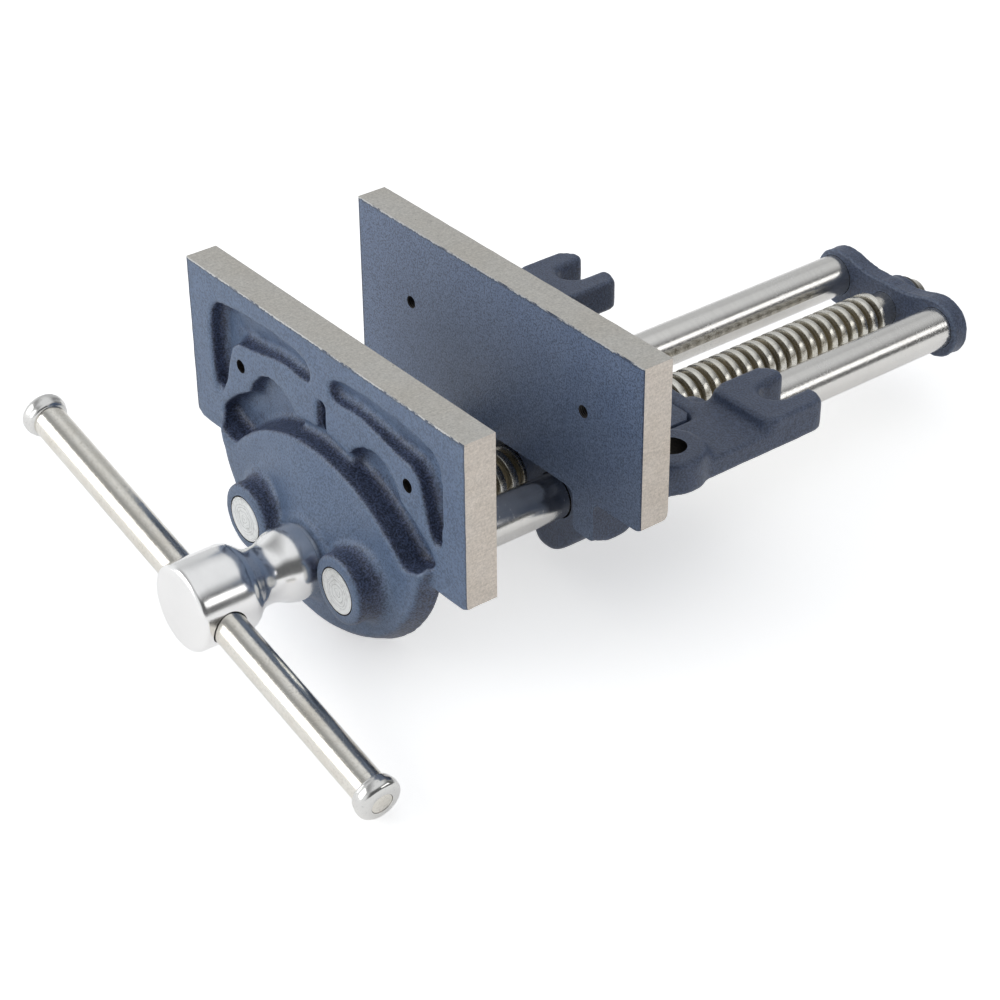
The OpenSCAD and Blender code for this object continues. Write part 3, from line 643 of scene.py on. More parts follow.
def enamel(name, tone, relief=True, contrast=0.26, walls=1.0):
    """Textured enamel: darker and rough in the pockets, with painted shade there and on the walls, rubbed on
    the edges, chipped along the milled rims.
    """
    paint = bpy.context.scene.vise_paint
    made, sheet, place = material(name)
    grain = use_group(sheet, enamel_grain(), Place=place, Size=paint.grit)
    tone = tuple(tone)
    pale = tuple(min(1.0, rate * c + 0.014) for c, rate in zip(tone, (1.4, 1.3, 1.15)))
    shade = sheet.blend(sheet.ramp(grain["Mottle"], 0.4, 0.75, 0.0, 0.4), tone, pale)
    if relief:
        edge, hollow, sunk, steep = (
            sheet.node("ShaderNodeAttribute", attribute_name=key).outputs["Fac"]
            for key in ("edge", "hollow", "sunk", "steep")
        )
        wander = sheet.ramp(grain["Clump"], 0.3, 0.7, -0.15, 0.15)
        # Painted shade: walls that turn away from the front take the darker wall tone
        lean = sheet.plus(sheet.times(steep, walls), sheet.times(sunk, 0.16))
        wall = sheet.ramp(sheet.plus(lean, wander), 0.12, 0.62)
        # Darker paint and painted shade: the deepest points of the hollows take the pocket tone
        depth = sheet.plus(sheet.times(hollow, 0.66), sheet.times(sunk, 0.12))
        deep = sheet.ramp(sheet.plus(depth, wander), 0.36, 1.2)
        shade = sheet.blend(wall, shade, tuple(paint.wall_shade_tone))
        shade = sheet.blend(deep, shade, tuple(paint.pocket_paint_and_shade_tone))
        rough_skin = sheet.math("MAXIMUM", wall, deep)
    else:
        rough_skin = sheet.ramp(grain["Clump"], 0.5, 0.75, 0.0, 0.15)
    swing = sheet.times(grain["Speck"], sheet.ramp(rough_skin, 0.0, 1.0, contrast, 0.6))
    shade = sheet.blend(1.0, shade, sheet.plus(swing, 1.0), "MULTIPLY")
    fleck = sheet.times(sheet.ramp(grain["Speck"], 0.35, 0.9), sheet.ramp(rough_skin, 0.0, 1.0, 0.12, 0.4))
    shade = sheet.blend(fleck, shade, (0.10, 0.13, 0.23))
    chance = sheet.noise(place, 750.0, 3.0, 0.65)
    if relief:
        chipped = sheet.plus(edge, sheet.ramp(chance, 0.3, 0.7, -0.35, 0.35))
        shade = sheet.blend(sheet.ramp(chipped, 0.55, 1.1, 0.0, 0.45), shade, tuple(paint.worn_tone))
    # Along a milled edge the paint ends in a dark line, and above it thin bright chips
    parts = sheet.node("ShaderNodeSeparateXYZ", {0: place})
    wobble = sheet.ramp(chance, 0.3, 0.7, -0.4 * MM, 0.4 * MM)
    height_there = sheet.plus(parts.outputs[2], wobble)
    side = sheet.plus(sheet.math("ABSOLUTE", parts.outputs[0]), wobble)
    line = sheet.math(
        "MAXIMUM", sheet.ramp(height_there, TOP_Z - 1.5 * MM, TOP_Z - 0.9 * MM),
        sheet.ramp(side, END_X - 1.0 * MM, END_X - 0.5 * MM),
    )
    shade = sheet.blend(sheet.times(line, 0.55), shade, (0.01, 0.012, 0.02))
    some = sheet.ramp(sheet.noise(place, 110.0, 3.0, 0.7), 0.4, 0.5)
    rim = sheet.times(sheet.ramp(height_there, TOP_Z - 0.8 * MM, TOP_Z - 0.6 * MM), some)
    shade = sheet.blend(rim, shade, tuple(paint.chip_tone))
    rough = sheet.ramp(grain["Mottle"], 0.3, 0.7, 0.36, 0.48)
    lift = sheet.times(grain["Height"], sheet.ramp(rough_skin, 0.0, 1.0, 0.7, 1.5))
    surface(sheet, shade, rough, lift, paint.grain_depth, metallic=0.0)
    return made


@made_once("materials", "slate enamel")
def jaw_enamel(name):
    return enamel(name, bpy.context.scene.vise_paint.flat_tone)


# Painted shade: the body's enamel is the jaw enamel in a darker tone, with less shade on its walls
@made_once("materials", "body enamel")
def shaded_body_enamel(name):
    return enamel(name, bpy.context.scene.vise_paint.shaded_body_tone, contrast=0.3, walls=0.15)


@made_once("materials", "faced enamel")
def lit_faced_enamel(name):
    """Enamel on a face that was machined flat before it was painted, toned lighter as painted sheen."""
    return enamel(name, bpy.context.scene.vise_paint.lit_faced_tone, relief=False, contrast=0.4)


# Painted shade: the nut takes the body's darker tone
@made_once("materials", "nut enamel")
def nut_enamel(name):
    return enamel(name, bpy.context.scene.vise_paint.shaded_body_tone, relief=False)


@made_once("materials", "raw bore")
def bore_shadow(name):
    """Raw, oily iron inside the bores, near-black as painted shade in the holes."""
    made, sheet, place = material(name)
    crust = sheet.noise(place, 900.0, 3.0, 0.6)
    shade = sheet.blend(sheet.ramp(crust, 0.35, 0.7), (0.012, 0.011, 0.011), (0.05, 0.042, 0.034))
    surface(sheet, shade, sheet.ramp(crust, 0.3, 0.7, 0.45, 0.7), crust, 0.08 * MM, metallic=0.5)
    return made


def milled_iron(name, tone, stretch):
    """Bare milled edge, sandy and faintly lined. stretch is the scale of the lines in each direction."""
    made, sheet, place = material(name)
    tone = tuple(tone)
    lines = use_group(sheet, rub_lines(), Place=place, Stretch=stretch)
    sand = sheet.noise(place, 1150.0, 2.0, 0.7)
    cloud = sheet.noise(place, 34.0, 4.0, 0.6)
    warm = tuple(c * rate for c, rate in zip(tone, (0.94, 0.9, 0.84)))
    level = sheet.plus(
        sheet.ramp(sand, 0.3, 0.7, 0.84, 1.12), sheet.ramp(lines["Lines"], 0.3, 0.7, -0.07, 0.07)
    )
    shade = sheet.blend(sheet.ramp(cloud, 0.35, 0.7, 0.0, 0.5), tone, warm)
    shade = sheet.blend(1.0, shade, level, "MULTIPLY")
    pit = sheet.ramp(sheet.noise(place, 800.0, 2.0), 0.735, 0.78, 0.0, 0.75)
    shade = sheet.blend(pit, shade, (0.1, 0.085, 0.07))
    rough = sheet.ramp(lines["Bands"], 0.3, 0.7, 0.36, 0.5)
    height = sheet.plus(sheet.times(lines["Lines"], 0.7), sand)
    surface(sheet, shade, rough, height, 0.03 * MM, metallic=0.9)
    return made


@made_once("materials", "ground rod")
def ground_rod(name):
    steel = bpy.context.scene.vise_steel
    made, sheet, place = material(name)
    # Fine rings left by grinding, and a frost of short scratches in patches along the rod, rougher and paled
    # as painted glint
    rings = use_group(sheet, rub_lines(), Place=place, Stretch=(170.0, 1500.0, 170.0))
    frost = sheet.ramp(sheet.noise(place, 1500.0, 2.0, 0.7), 0.5, 0.62)
    patch = sheet.ramp(sheet.noise(place, 36.0, 4.0, 0.65), 0.4, 0.68)
    frost_and_glint = sheet.times(frost, patch)
    tone = tuple(steel.rod_tone)
    shade = sheet.blend(sheet.ramp(rings["Bands"], 0.4, 0.75, 0.0, 0.2), tone, tuple(0.8 * c for c in tone))
    shade = sheet.blend(sheet.times(frost_and_glint, 0.25), shade, (0.85, 0.87, 0.9))
    rough = sheet.plus(sheet.ramp(rings["Lines"], 0.3, 0.7, 0.14, 0.24), sheet.times(frost_and_glint, 0.12))
    height = sheet.plus(rings["Lines"], sheet.times(frost, 0.3))
    # Faced end: pale, with rings of uneven width and a blotched skin
    parts = sheet.node("ShaderNodeSeparateXYZ", {0: place})
    side = sheet.math("ABSOLUTE", parts.outputs[0])
    folded = sheet.node("ShaderNodeCombineXYZ", {0: side, 1: parts.outputs[1], 2: parts.outputs[2]})
    marks = use_group(
        sheet, turned_marks(), Place=folded.outputs[0], Centre_X=ROD_X + 0.4 * MM,
        Centre_Z=ROD_Z - 0.3 * MM, Spacing=0.9 * MM, Wander=3.0,
    )
    at_face = sheet.math(
        "MAXIMUM", sheet.math("LESS_THAN", parts.outputs[1], ROD_LOW.y + 0.15 * MM),
        sheet.math("GREATER_THAN", parts.outputs[1], ROD_HIGH.y - 0.15 * MM),
    )
    skin = sheet.noise(place, 420.0, 4.0, 0.65)
    broad = sheet.noise(place, 130.0, 2.0, 0.5)
    pale = tuple(steel.rod_end_tone)
    face = sheet.blend(sheet.ramp(marks["Uneven"], 0.5, 0.62, 0.0, 0.75), pale, tuple(0.35 * c for c in pale))
    face = sheet.blend(sheet.ramp(skin, 0.5, 0.72, 0.0, 0.45), face, (0.42, 0.42, 0.41))
    face = sheet.blend(sheet.ramp(broad, 0.5, 0.7, 0.0, 0.5), face, (0.9, 0.9, 0.9))
    shade = sheet.blend(at_face, shade, face)
    rough = sheet.plus(sheet.times(at_face, 0.22), rough)
    bumps = sheet.plus(sheet.times(marks["Uneven"], 3.0), sheet.times(skin, 2.5))
    height = sheet.plus(height, sheet.times(at_face, bumps))
    surface(sheet, shade, rough, height, 0.02 * MM)
    return made


@made_once("materials", "drawn bar")
def bar_steel(name):
    steel = bpy.context.scene.vise_steel
    made, sheet, place = material(name)
    lines = use_group(sheet, rub_lines(), Place=place, Stretch=(90.0, 1300.0, 1300.0))
    flecks = sheet.ramp(sheet.noise(place, 1200.0, 3.0, 0.7), 0.5, 0.68)
    cloud = sheet.noise(place, 55.0, 4.0, 0.6)
    tone = tuple(steel.bar_tone)
    shade = sheet.blend(sheet.ramp(cloud, 0.35, 0.7, 0.0, 0.4), tone, (0.60, 0.54, 0.44))
    shade = sheet.blend(sheet.times(flecks, 0.28), shade, (0.34, 0.31, 0.26))
    rough = sheet.plus(sheet.ramp(cloud, 0.3, 0.7, 0.13, 0.22), sheet.times(flecks, 0.1))
    height = sheet.plus(lines["Lines"], flecks)
    surface(sheet, shade, rough, height, 0.014 * MM)
    return made


def plated(name, tone, low, high, flaw):
    """Bright plate with faint polishing lines and small flaws, as rough as from low to high."""
    made, sheet, place = material(name)
    tone = tuple(tone)
    marks = use_group(sheet, turned_marks(), Place=place, Centre_X=0.0, Centre_Z=SCREW_Z, Spacing=0.7 * MM)
    cloud = sheet.noise(place, 60.0, 4.0, 0.6)
    scratch = sheet.ramp(sheet.noise(place, 1500.0, 2.0, 0.6), 0.6, 0.68)
    shade = sheet.blend(sheet.ramp(cloud, 0.4, 0.75, 0.0, 0.3), tone, tuple(0.86 * c for c in tone))
    shade = sheet.blend(sheet.times(scratch, flaw), shade, (0.35, 0.35, 0.35))
    rough = sheet.ramp(cloud, 0.3, 0.7, low, high)
    height = sheet.plus(sheet.times(marks["Uneven"], 0.5), sheet.times(scratch, 0.5))
    surface(sheet, shade, rough, height, 0.006 * MM)
    return made


@made_once("materials", "plated hub")
def hub_plate(name):
    return plated(name, bpy.context.scene.vise_steel.hub_tone, 0.15, 0.23, 0.05)


@made_once("materials", "plated caps")
def cap_plate(name):
    return plated(name, bpy.context.scene.vise_steel.cap_tone, 0.14, 0.24, 0.3)


@made_once("materials", "greased screw")
def greased_screw(name):
    steel = bpy.context.scene.vise_steel
    made, sheet, place = material(name)
    marks = use_group(sheet, turned_marks(), Place=place, Centre_X=0.0, Centre_Z=SCREW_Z, Spacing=0.6 * MM)
    smear = sheet.noise(place, 210.0, 4.0, 0.65)
    patch = sheet.noise(place, 45.0, 3.0, 0.6)
    fine = sheet.noise(place, 1100.0, 2.0, 0.6)
    lift = sheet.plus(marks["Radius"], sheet.ramp(smear, 0.3, 0.7, -0.4 * MM, 0.4 * MM))
    in_root = sheet.ramp(lift, SCREW_R - steel.thread_depth + 0.3 * MM, SCREW_R - 0.6 * MM, 1.0, 0.0)
    crest = sheet.blend(sheet.ramp(patch, 0.45, 0.75, 0.0, 0.5), tuple(steel.screw_tone), (0.56, 0.51, 0.40))
    crest = sheet.blend(sheet.ramp(smear, 0.6, 0.74, 0.0, 0.7), crest, (0.34, 0.28, 0.17))
    crest = sheet.blend(sheet.ramp(fine, 0.55, 0.7, 0.0, 0.35), crest, (0.4, 0.39, 0.36))
    grease = tuple(steel.grease_tone)
    root = sheet.blend(sheet.ramp(patch, 0.35, 0.65), grease, tuple(2.4 * c for c in grease))
    shade = sheet.blend(in_root, crest, root)
    metal = sheet.ramp(in_root, 0.2, 0.9, 1.0, 0.35)
    rough = sheet.plus(sheet.ramp(fine, 0.3, 0.7, 0.2, 0.36), sheet.times(in_root, 0.08))
    skin = sheet.plus(smear, sheet.times(fine, 0.4))
    height = sheet.plus(sheet.times(marks["Rings"], 0.05), skin)
    surface(sheet, shade, rough, height, 0.05 * MM, metallic=metal)
    return made


@made_once("materials", "oiled steel")
def oiled_black(name):
    steel = bpy.context.scene.vise_steel
    made, sheet, place = material(name)
    skin = sheet.noise(place, 400.0, 4.0, 0.6)
    oil = sheet.noise(place, 90.0, 2.0, 0.5)
    tone = tuple(steel.black_tone)
    shade = sheet.blend(sheet.ramp(skin, 0.4, 0.75, 0.0, 0.6), tone, (0.18, 0.16, 0.13))
    rough = sheet.ramp(oil, 0.35, 0.7, 0.28, 0.5)
    surface(sheet, shade, rough, skin, 0.02 * MM, metallic=0.8)
    return made


def coat_slots(piece, finishes):
    piece.data.materials.clear()
    for finish in finishes:
        piece.data.materials.append(finish)


def coat_node(node, finish):
    for slot in frame["nodes"][node].material_slots:
        slot.material = finish


@made_once("materials", "milled top")
def top_iron(name):
    return milled_iron(name, bpy.context.scene.vise_paint.top_tone, (1700.0, 200.0, 1700.0))


@made_once("materials", "milled end")
def end_iron(name):
    return milled_iron(name, bpy.context.scene.vise_paint.end_tone, (1700.0, 150.0, 1700.0))


def milled_planes(face_y, outward_y):
    """The milled planes of a jaw, as point, direction and finish: inner face, top and both ends."""
    return [
        ((0, face_y, 0), (0, outward_y, 0), lit_faced_enamel()),
        ((0, 0, TOP_Z), (0, 0, 1), top_iron()),
        ((-END_X, 0, 0), (-1, 0, 0), end_iron()),
        ((END_X, 0, 0), (1, 0, 0), end_iron()),
    ]


def pocket_ramp(side, floor_y):
    """Wedge that lets the floor of an upper pocket rise towards the jaw's top edge."""
    inner, outer, rise = 4 * MM, 60 * MM, 5.6 * MM
    top, foot = TOP_Z - 7 * MM, TOP_Z - 22 * MM
    low_x, high_x = sorted((side * inner, side * outer))
    wedge = block("pocket_ramp", (low_x, floor_y - rise, foot), (high_x, floor_y + 2 * MM, top))
    move_corners(wedge, lambda at: at.y < floor_y and at.z < (top + foot) / 2, (0, rise, 0))
    return wedge


def crown_slit():
    """Cutter for the narrow slit in the crown of the arch."""
    low = (-2.1 * MM, FRONT_FACE_Y - 4 * MM, TOP_Z - 38.5 * MM)
    high = (2.3 * MM, FRONT_FACE_Y + 5.8 * MM, TOP_Z - 25 * MM)
    slit = block("crown_slit", low, high)
    modify(slit, "BEVEL", width=0.9 * MM, segments=3)
    return slit


def apron_taper():
    """Cutters that taper the apron's rim towards the front, below the plate and beside it."""
    radius = 70 * MM
    centre_z = JAW_LOW.z + radius
    # Millimetres behind the plate's front face, and beyond the apron's radius
    rim = [(-9, -8), (-5.7, -4.9), (-4.1, -3.5), (-2.4, -2.4), (0, -1.4), (2.1, -0.5), (4.3, 0.05), (8, 0.05)]
    profile = [(radius + beyond * MM, FRONT_FACE_Y + behind * MM) for behind, beyond in rim]
    profile.insert(0, (profile[0][0], FRONT_FACE_Y - 12 * MM))
    wide = 90 * MM
    ahead_y = FRONT_FACE_Y - 9 * MM
    low = block(
        "apron_cut", (-wide, ahead_y, JAW_LOW.z - SPARE),
        (wide, FRONT_FACE_Y + 4.4 * MM, JAW_LOW_Z - 0.05 * MM),
    )
    wings = block(
        "wing_cut", (-wide, ahead_y, JAW_LOW_Z - 2 * MM),
        (wide, FRONT_FACE_Y - 0.1 * MM, JAW_LOW_Z + 12 * MM),
    )
    for cutter in (low, wings):
        cut(cutter, [lathe("apron_cone", profile, centre_z, 128)])
    return [low, wings]


def tapped_tool(x, z, start, end):
    """Cutter for a tapped hole: a bar with a ridge for each turn of its thread."""
    core, ridge, step = 2.35 * MM, 2.8 * MM, 0.45 * MM
    profile = [(core, start)]
    count = int((end - start) / step)
    for i in range(1, count):
        profile.append((ridge if i % 2 else core, start + i * step))
    tool = lathe("tap", profile, z, 32)
    pick(tool)
    tool.location.x = x
    bpy.ops.object.transform_apply(location=True)
    return tool


class VISE_OT_moving_jaw(Operator):
    """Cast the moving jaw: coved pockets, domed apron and bosses, with milled edges and bored holes"""

    bl_idname = "vise.moving_jaw"
    bl_label = "Moving jaw"

    def execute(self, context):
        castings = context.scene.vise_castings
        jaw = merged_copy("front_jaw", "moving_jaw")
        planes = milled_planes(FRONT_BACK_Y, 1)
        for point, outward, finish in planes:
            leave_stock(jaw, point, outward)
        back = FRONT_BACK_Y + SPARE
        boss_y = FRONT_FACE_Y - 10.7 * MM
        fills = [plug("screw_fill", SCREW_R + OVER, (0, boss_y, SCREW_Z), (0, back, SCREW_Z))]
        ahead = (0, JAW_LOW.y - SPARE, SCREW_Z)
        drills = [plug("screw_drill", SCREW_R + 0.1 * MM, ahead, (0, back + SPARE, SCREW_Z))]
        for side in (-1, 1):
            x = side * ROD_X
            fills.append(plug("rod_fill", ROD_R + OVER, (x, JAW_LOW.y, ROD_Z), (x, back, ROD_Z)))
            ring = ROD_R + castings.bore_gap
            drills.append(plug("rod_drill", ring, (x, JAW_LOW.y - SPARE, ROD_Z), (x, back + SPARE, ROD_Z)))
            x = side * LINER_X
            fills.append(plug("liner_fill", LINER_FILL_R, (x, FRONT_FACE_Y, LINER_Z), (x, back, LINER_Z)))
            ahead = (x, FRONT_FACE_Y - SPARE, LINER_Z)
            drills.append(plug("liner_drill", LINER_R, ahead, (x, back + SPARE, LINER_Z), 48))
        floor_y = FRONT_FACE_Y + 7 * MM
        join(jaw, fills + [pocket_ramp(-1, floor_y), pocket_ramp(1, floor_y)])
        cast_skin(
            jaw, castings.jaw_grain, castings.jaw_fillet, castings.jaw_round, castings.swell,
            tools=apron_taper(),
        )
        coat_slots(jaw, [jaw_enamel()])
        drill(jaw, [crown_slit()], jaw_enamel())
        for point, outward, finish in planes:
            mill(jaw, point, outward, finish)
        drill(jaw, drills, bore_shadow())
        mark_relief(jaw)
        mark_sunk(jaw)
        soften(jaw)
        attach(jaw, "moving_jaw")
        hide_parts("front_jaw")
        return {"FINISHED"}


class VISE_OT_fixed_jaw(Operator):
    """Cast the fixed jaw with its base, slotted lugs, guide block and sleeves, milled and bored"""

    bl_idname = "vise.fixed_jaw"
    bl_label = "Fixed jaw"

    def execute(self, context):
        castings = context.scene.vise_castings
        jaw = merged_copy("rear_jaw", "fixed_jaw")
        sleeve_back = 51.2 * MM
        guide_face = REAR_FRONT_Y + 5.9 * MM
        planes = milled_planes(REAR_FRONT_Y, -1)
        for point, outward, finish in planes:
            leave_stock(jaw, point, outward)
        front = REAR_FRONT_Y - SPARE
        fills, drills = [], []
        for side in (-1, 1):
            x = side * LINER_X
            fills.append(plug("liner_fill", LINER_FILL_R, (x, front, LINER_Z), (x, REAR_BACK_Y, LINER_Z)))
            drills.append(tapped_tool(x, LINER_Z, front, REAR_BACK_Y + SPARE))
            x = side * ROD_X
            fills.append(plug("rod_fill", ROD_R + OVER, (x, guide_face, ROD_Z), (x, sleeve_back, ROD_Z)))
            ring = ROD_R + castings.bore_gap
            drills.append(plug("rod_drill", ring, (x, front - SPARE, ROD_Z), (x, sleeve_back + SPARE, ROD_Z)))
            x = side * BOLT_X
            fills.append(plug("bolt_fill", BOLT_FILL_R, (x, 0, -14.4 * MM), (x, 0, 0)))
            drills.append(plug("bolt_drill", BOLT_R, (x, 0, -30 * MM), (x, 0, 10 * MM), 64))
        join(jaw, fills)
        cast_skin(
            jaw, castings.fixed_grain, castings.fixed_fillet, castings.fixed_round, castings.swell, rounds=2
        )
        coat_slots(jaw, [shaded_body_enamel()])
        for point, outward, finish in planes:
            mill(jaw, point, outward, finish)
        drill(jaw, drills, bore_shadow())
        mark_relief(jaw)
        soften(jaw)
        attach(jaw, "fixed_body")
        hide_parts("rear_jaw")
        return {"FINISHED"}


class VISE_OT_end_plate(Operator):
    """Cast the plate that ties the rods together at the back"""

    bl_idname = "vise.end_plate"
    bl_label = "End plate"

    def execute(self, context):
        castings = context.scene.vise_castings
        plate = merged_copy("end_plate", "rear_plate")
        front_y, back_y = PLATE_LOW.y, PLATE_LOW.y + 8 * MM
        fills = [
            plug("rod_fill", ROD_R + 1 * MM, (side * ROD_X, front_y, ROD_Z), (side * ROD_X, back_y, ROD_Z))
            for side in (-1, 1)
        ]
        fills.append(plug("tail_fill", 9 * MM, (0, PLATE_LOW.y, SCREW_Z), (0, PLATE_HIGH.y, SCREW_Z)))
        join(plate, fills)
        waves = 0.6 * castings.swell
        cast_skin(plate, castings.plate_grain, castings.plate_fillet, castings.plate_round, waves, rounds=6)
        coat_slots(plate, [shaded_body_enamel()])
        start, end = PLATE_LOW.y - 10 * MM, PLATE_HIGH.y + 10 * MM
        drills = [
            plug("rod_drill", ROD_R + 0.15 * MM, (side * ROD_X, start, ROD_Z), (side * ROD_X, end, ROD_Z))
            for side in (-1, 1)
        ]
        drills.append(plug("tail_drill", 7.6 * MM, (0, start, SCREW_Z), (0, end, SCREW_Z)))
        drill(plate, drills, bore_shadow())
        mark_relief(plate)
        soften(plate)
        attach(plate, "moving_jaw")
        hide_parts("end_plate")
        return {"FINISHED"}


class VISE_OT_screw_nut(Operator):
    """Soften the edges of the nut's casting"""

    bl_idname = "vise.screw_nut"
    bl_label = "Screw nut"

    def execute(self, context):
        nut = merged_copy("screw_nut", "flanged_nut")
        with editing(nut):
            bpy.ops.mesh.dissolve_limited(angle_limit=math.radians(0.5))
        modify(nut, "BEVEL", width=0.5 * MM, segments=3, limit_method="ANGLE", angle_limit=math.radians(50))
        coat_slots(nut, [nut_enamel()])
        soften(nut)
        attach(nut, "fixed_body")
        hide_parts("screw_nut")
        return {"FINISHED"}


def square_thread(steel):
    """Threaded bar round the line X = 0, Z = 0: one turn's outline, screwed along Y."""
    outer, root = SCREW_R, SCREW_R - steel.thread_depth
    flank, lip, bevel = 0.25 * MM, 0.3 * MM, 0.09 * MM
    far = flank + steel.crest
    # One turn of the thread's outline: root, flank, crest with rounded lips, flank
    outline = [
        (root, 0.0), (outer - lip, flank), (outer - bevel, flank + bevel), (outer, flank + lip),
        (outer, far - lip), (outer - bevel, far - bevel), (outer - lip, far), (root, 2 * flank + steel.crest),
        (root, steel.pitch),
    ]
    clear_selection()
    bpy.ops.mesh.primitive_circle_add(vertices=3, radius=1 * MM, location=(0, 0, 0))
    screw = settle("lead_screw")
    with editing(screw):
        bpy.ops.mesh.merge(type="CENTER")
        bpy.ops.transform.translate(value=(outline[0][0], THREAD_START_Y - steel.pitch + outline[0][1], 0))
        for (r0, y0), (r1, y1) in zip(outline, outline[1:]):
            bpy.ops.mesh.extrude_region_move(TRANSFORM_OT_translate={"value": (r1 - r0, y1 - y0, 0)})
    turns = int(math.ceil((THREAD_END_Y - THREAD_START_Y) / steel.pitch)) + 2
    modify(
        screw, "SCREW", axis="Y", angle=2 * math.pi, screw_offset=steel.pitch, iterations=turns,
        steps=64, render_steps=64, use_merge_vertices=True, merge_threshold=1e-6, use_smooth_shade=True,
    )
    return screw


class VISE_OT_lead_screw(Operator):
    """Cut the square thread, and add the shank before it and the tail behind it"""

    bl_idname = "vise.lead_screw"
    bl_label = "Lead screw"

    def execute(self, context):
        steel = context.scene.vise_steel
        outer, root = SCREW_R, SCREW_R - steel.thread_depth
        start, end = THREAD_START_Y, THREAD_END_Y
        screw = square_thread(steel)
        with editing(screw):
            bpy.ops.mesh.remove_doubles(threshold=SAME_POINT)
            bpy.ops.transform.translate(value=(0, 0, SCREW_Z))
            sides = {"plane_no": (0, 1, 0), "use_fill": True, "threshold": 1e-7}
            for cut_y, trim in ((start, {"clear_inner": True}), (end, {"clear_outer": True})):
                bpy.ops.mesh.select_all(action="SELECT")
                bpy.ops.mesh.bisect(plane_co=(0, cut_y, 0), **trim, **sides)
            bpy.ops.mesh.select_all(action="SELECT")
            bpy.ops.mesh.normals_make_consistent(inside=False)
        shank_profile = [
            (7.0 * MM, SCREW_LOW.y), (SHANK_R, SCREW_LOW.y + 0.5 * MM), (SHANK_R, SHANK_Y), (outer, SHANK_Y),
            (outer, start - steel.pitch), (root + 0.3 * MM, start - steel.pitch + 1.2 * MM),
            (root + 0.2 * MM, start + 0.2 * MM),
        ]
        tail_profile = [
            (SHANK_R, end - 0.2 * MM), (SHANK_R, SCREW_HIGH.y - 1.4 * MM),
            (7.1 * MM, SCREW_HIGH.y - 0.5 * MM), (6.4 * MM, SCREW_HIGH.y),
        ]
        shank = lathe("shank", shank_profile, SCREW_Z, steel.sides)
        tail = lathe("tail", tail_profile, SCREW_Z, steel.sides)
        coat_slots(screw, [greased_screw()])
        for turned in (shank, tail):
            coat_slots(turned, [bar_steel()])
        join(screw, [shank, tail])
        soften(screw, 40)
        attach(screw, "screw")
        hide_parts("main_screw")
        return {"FINISHED"}


def hub_profile():
    """Radius and y along the hub: flat face, rounded rim, head, waist, neck bead, collar."""
    face, back = HUB_LOW.y, HUB_HIGH.y
    head, waist, collar = 17.4 * MM, 11.5 * MM, 14.7 * MM
    # Shares of the hub's length, and the radius there
    knots = [
        (0.10, head), (0.25, head), (0.36, head), (0.425, 0.998 * head), (0.46, 0.965 * head),
        (0.49, 0.905 * head), (0.515, 0.835 * head), (0.54, 0.77 * head), (0.565, 0.716 * head),
        (0.59, 0.683 * head), (0.62, 0.664 * head), (0.655, waist), (0.69, 1.003 * waist),
        (0.72, 1.035 * waist), (0.75, 1.095 * waist), (0.78, 1.16 * waist), (0.81, 1.22 * waist),
        (0.84, 0.985 * collar), (0.87, 1.008 * collar), (0.905, 1.012 * collar), (0.94, 1.01 * collar),
        (0.97, 1.002 * collar),
    ]
    rim = 2.2 * MM
    profile = [(head - 3.4 * MM, face), (head - rim, face + 0.02 * MM)]
    for step in range(1, 7):
        turn = math.radians(15 * step)
        profile.append((head - rim + rim * math.sin(turn), face + rim * (1 - math.cos(turn))))
    profile += [(radius, face + at * (back - face)) for at, radius in knots]
    return profile + [(collar, back - 0.5 * MM), (collar - 0.5 * MM, back)]


def frame_axis(joint):
    """Direction of a joint's axis."""
    found = [j for j in frame["joints"] if j["name"] == joint][0]
    return Vector(found["axis"]).normalized()


class VISE_OT_hub(Operator):
    """Turn the hub that the bar passes through, and bore it"""

    bl_idname = "vise.hub"
    bl_label = "Hub"

    def execute(self, context):
        hub = lathe("hub", hub_profile(), SCREW_Z, context.scene.vise_steel.sides)
        coat_slots(hub, [hub_plate()])
        bore_r = 7.25 * MM
        bar_centre = Vector((0, BAR_AXIS_Y, SCREW_Z))
        reach = 40 * MM * frame_axis("bar_slide")
        drill(hub, [plug("bar_drill", bore_r, bar_centre - reach, bar_centre + reach, 128)], hub_plate())
        soften(hub, 35)
        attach(hub, "screw")
        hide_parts("screw_hub")
        return {"FINISHED"}


def lay_on_bar(piece):
    """Turns a piece made along Y onto the bar's line."""
    axis = frame_axis("bar_slide")
    pick(piece)
    piece.rotation_euler = (0, 0, math.radians(-90))
    bpy.ops.object.transform_apply(rotation=True)
    piece.rotation_euler = (0, math.atan2(-axis.z, axis.x), 0)
    piece.location = middle("tommy_bar")
    bpy.ops.object.transform_apply(location=True, rotation=True)


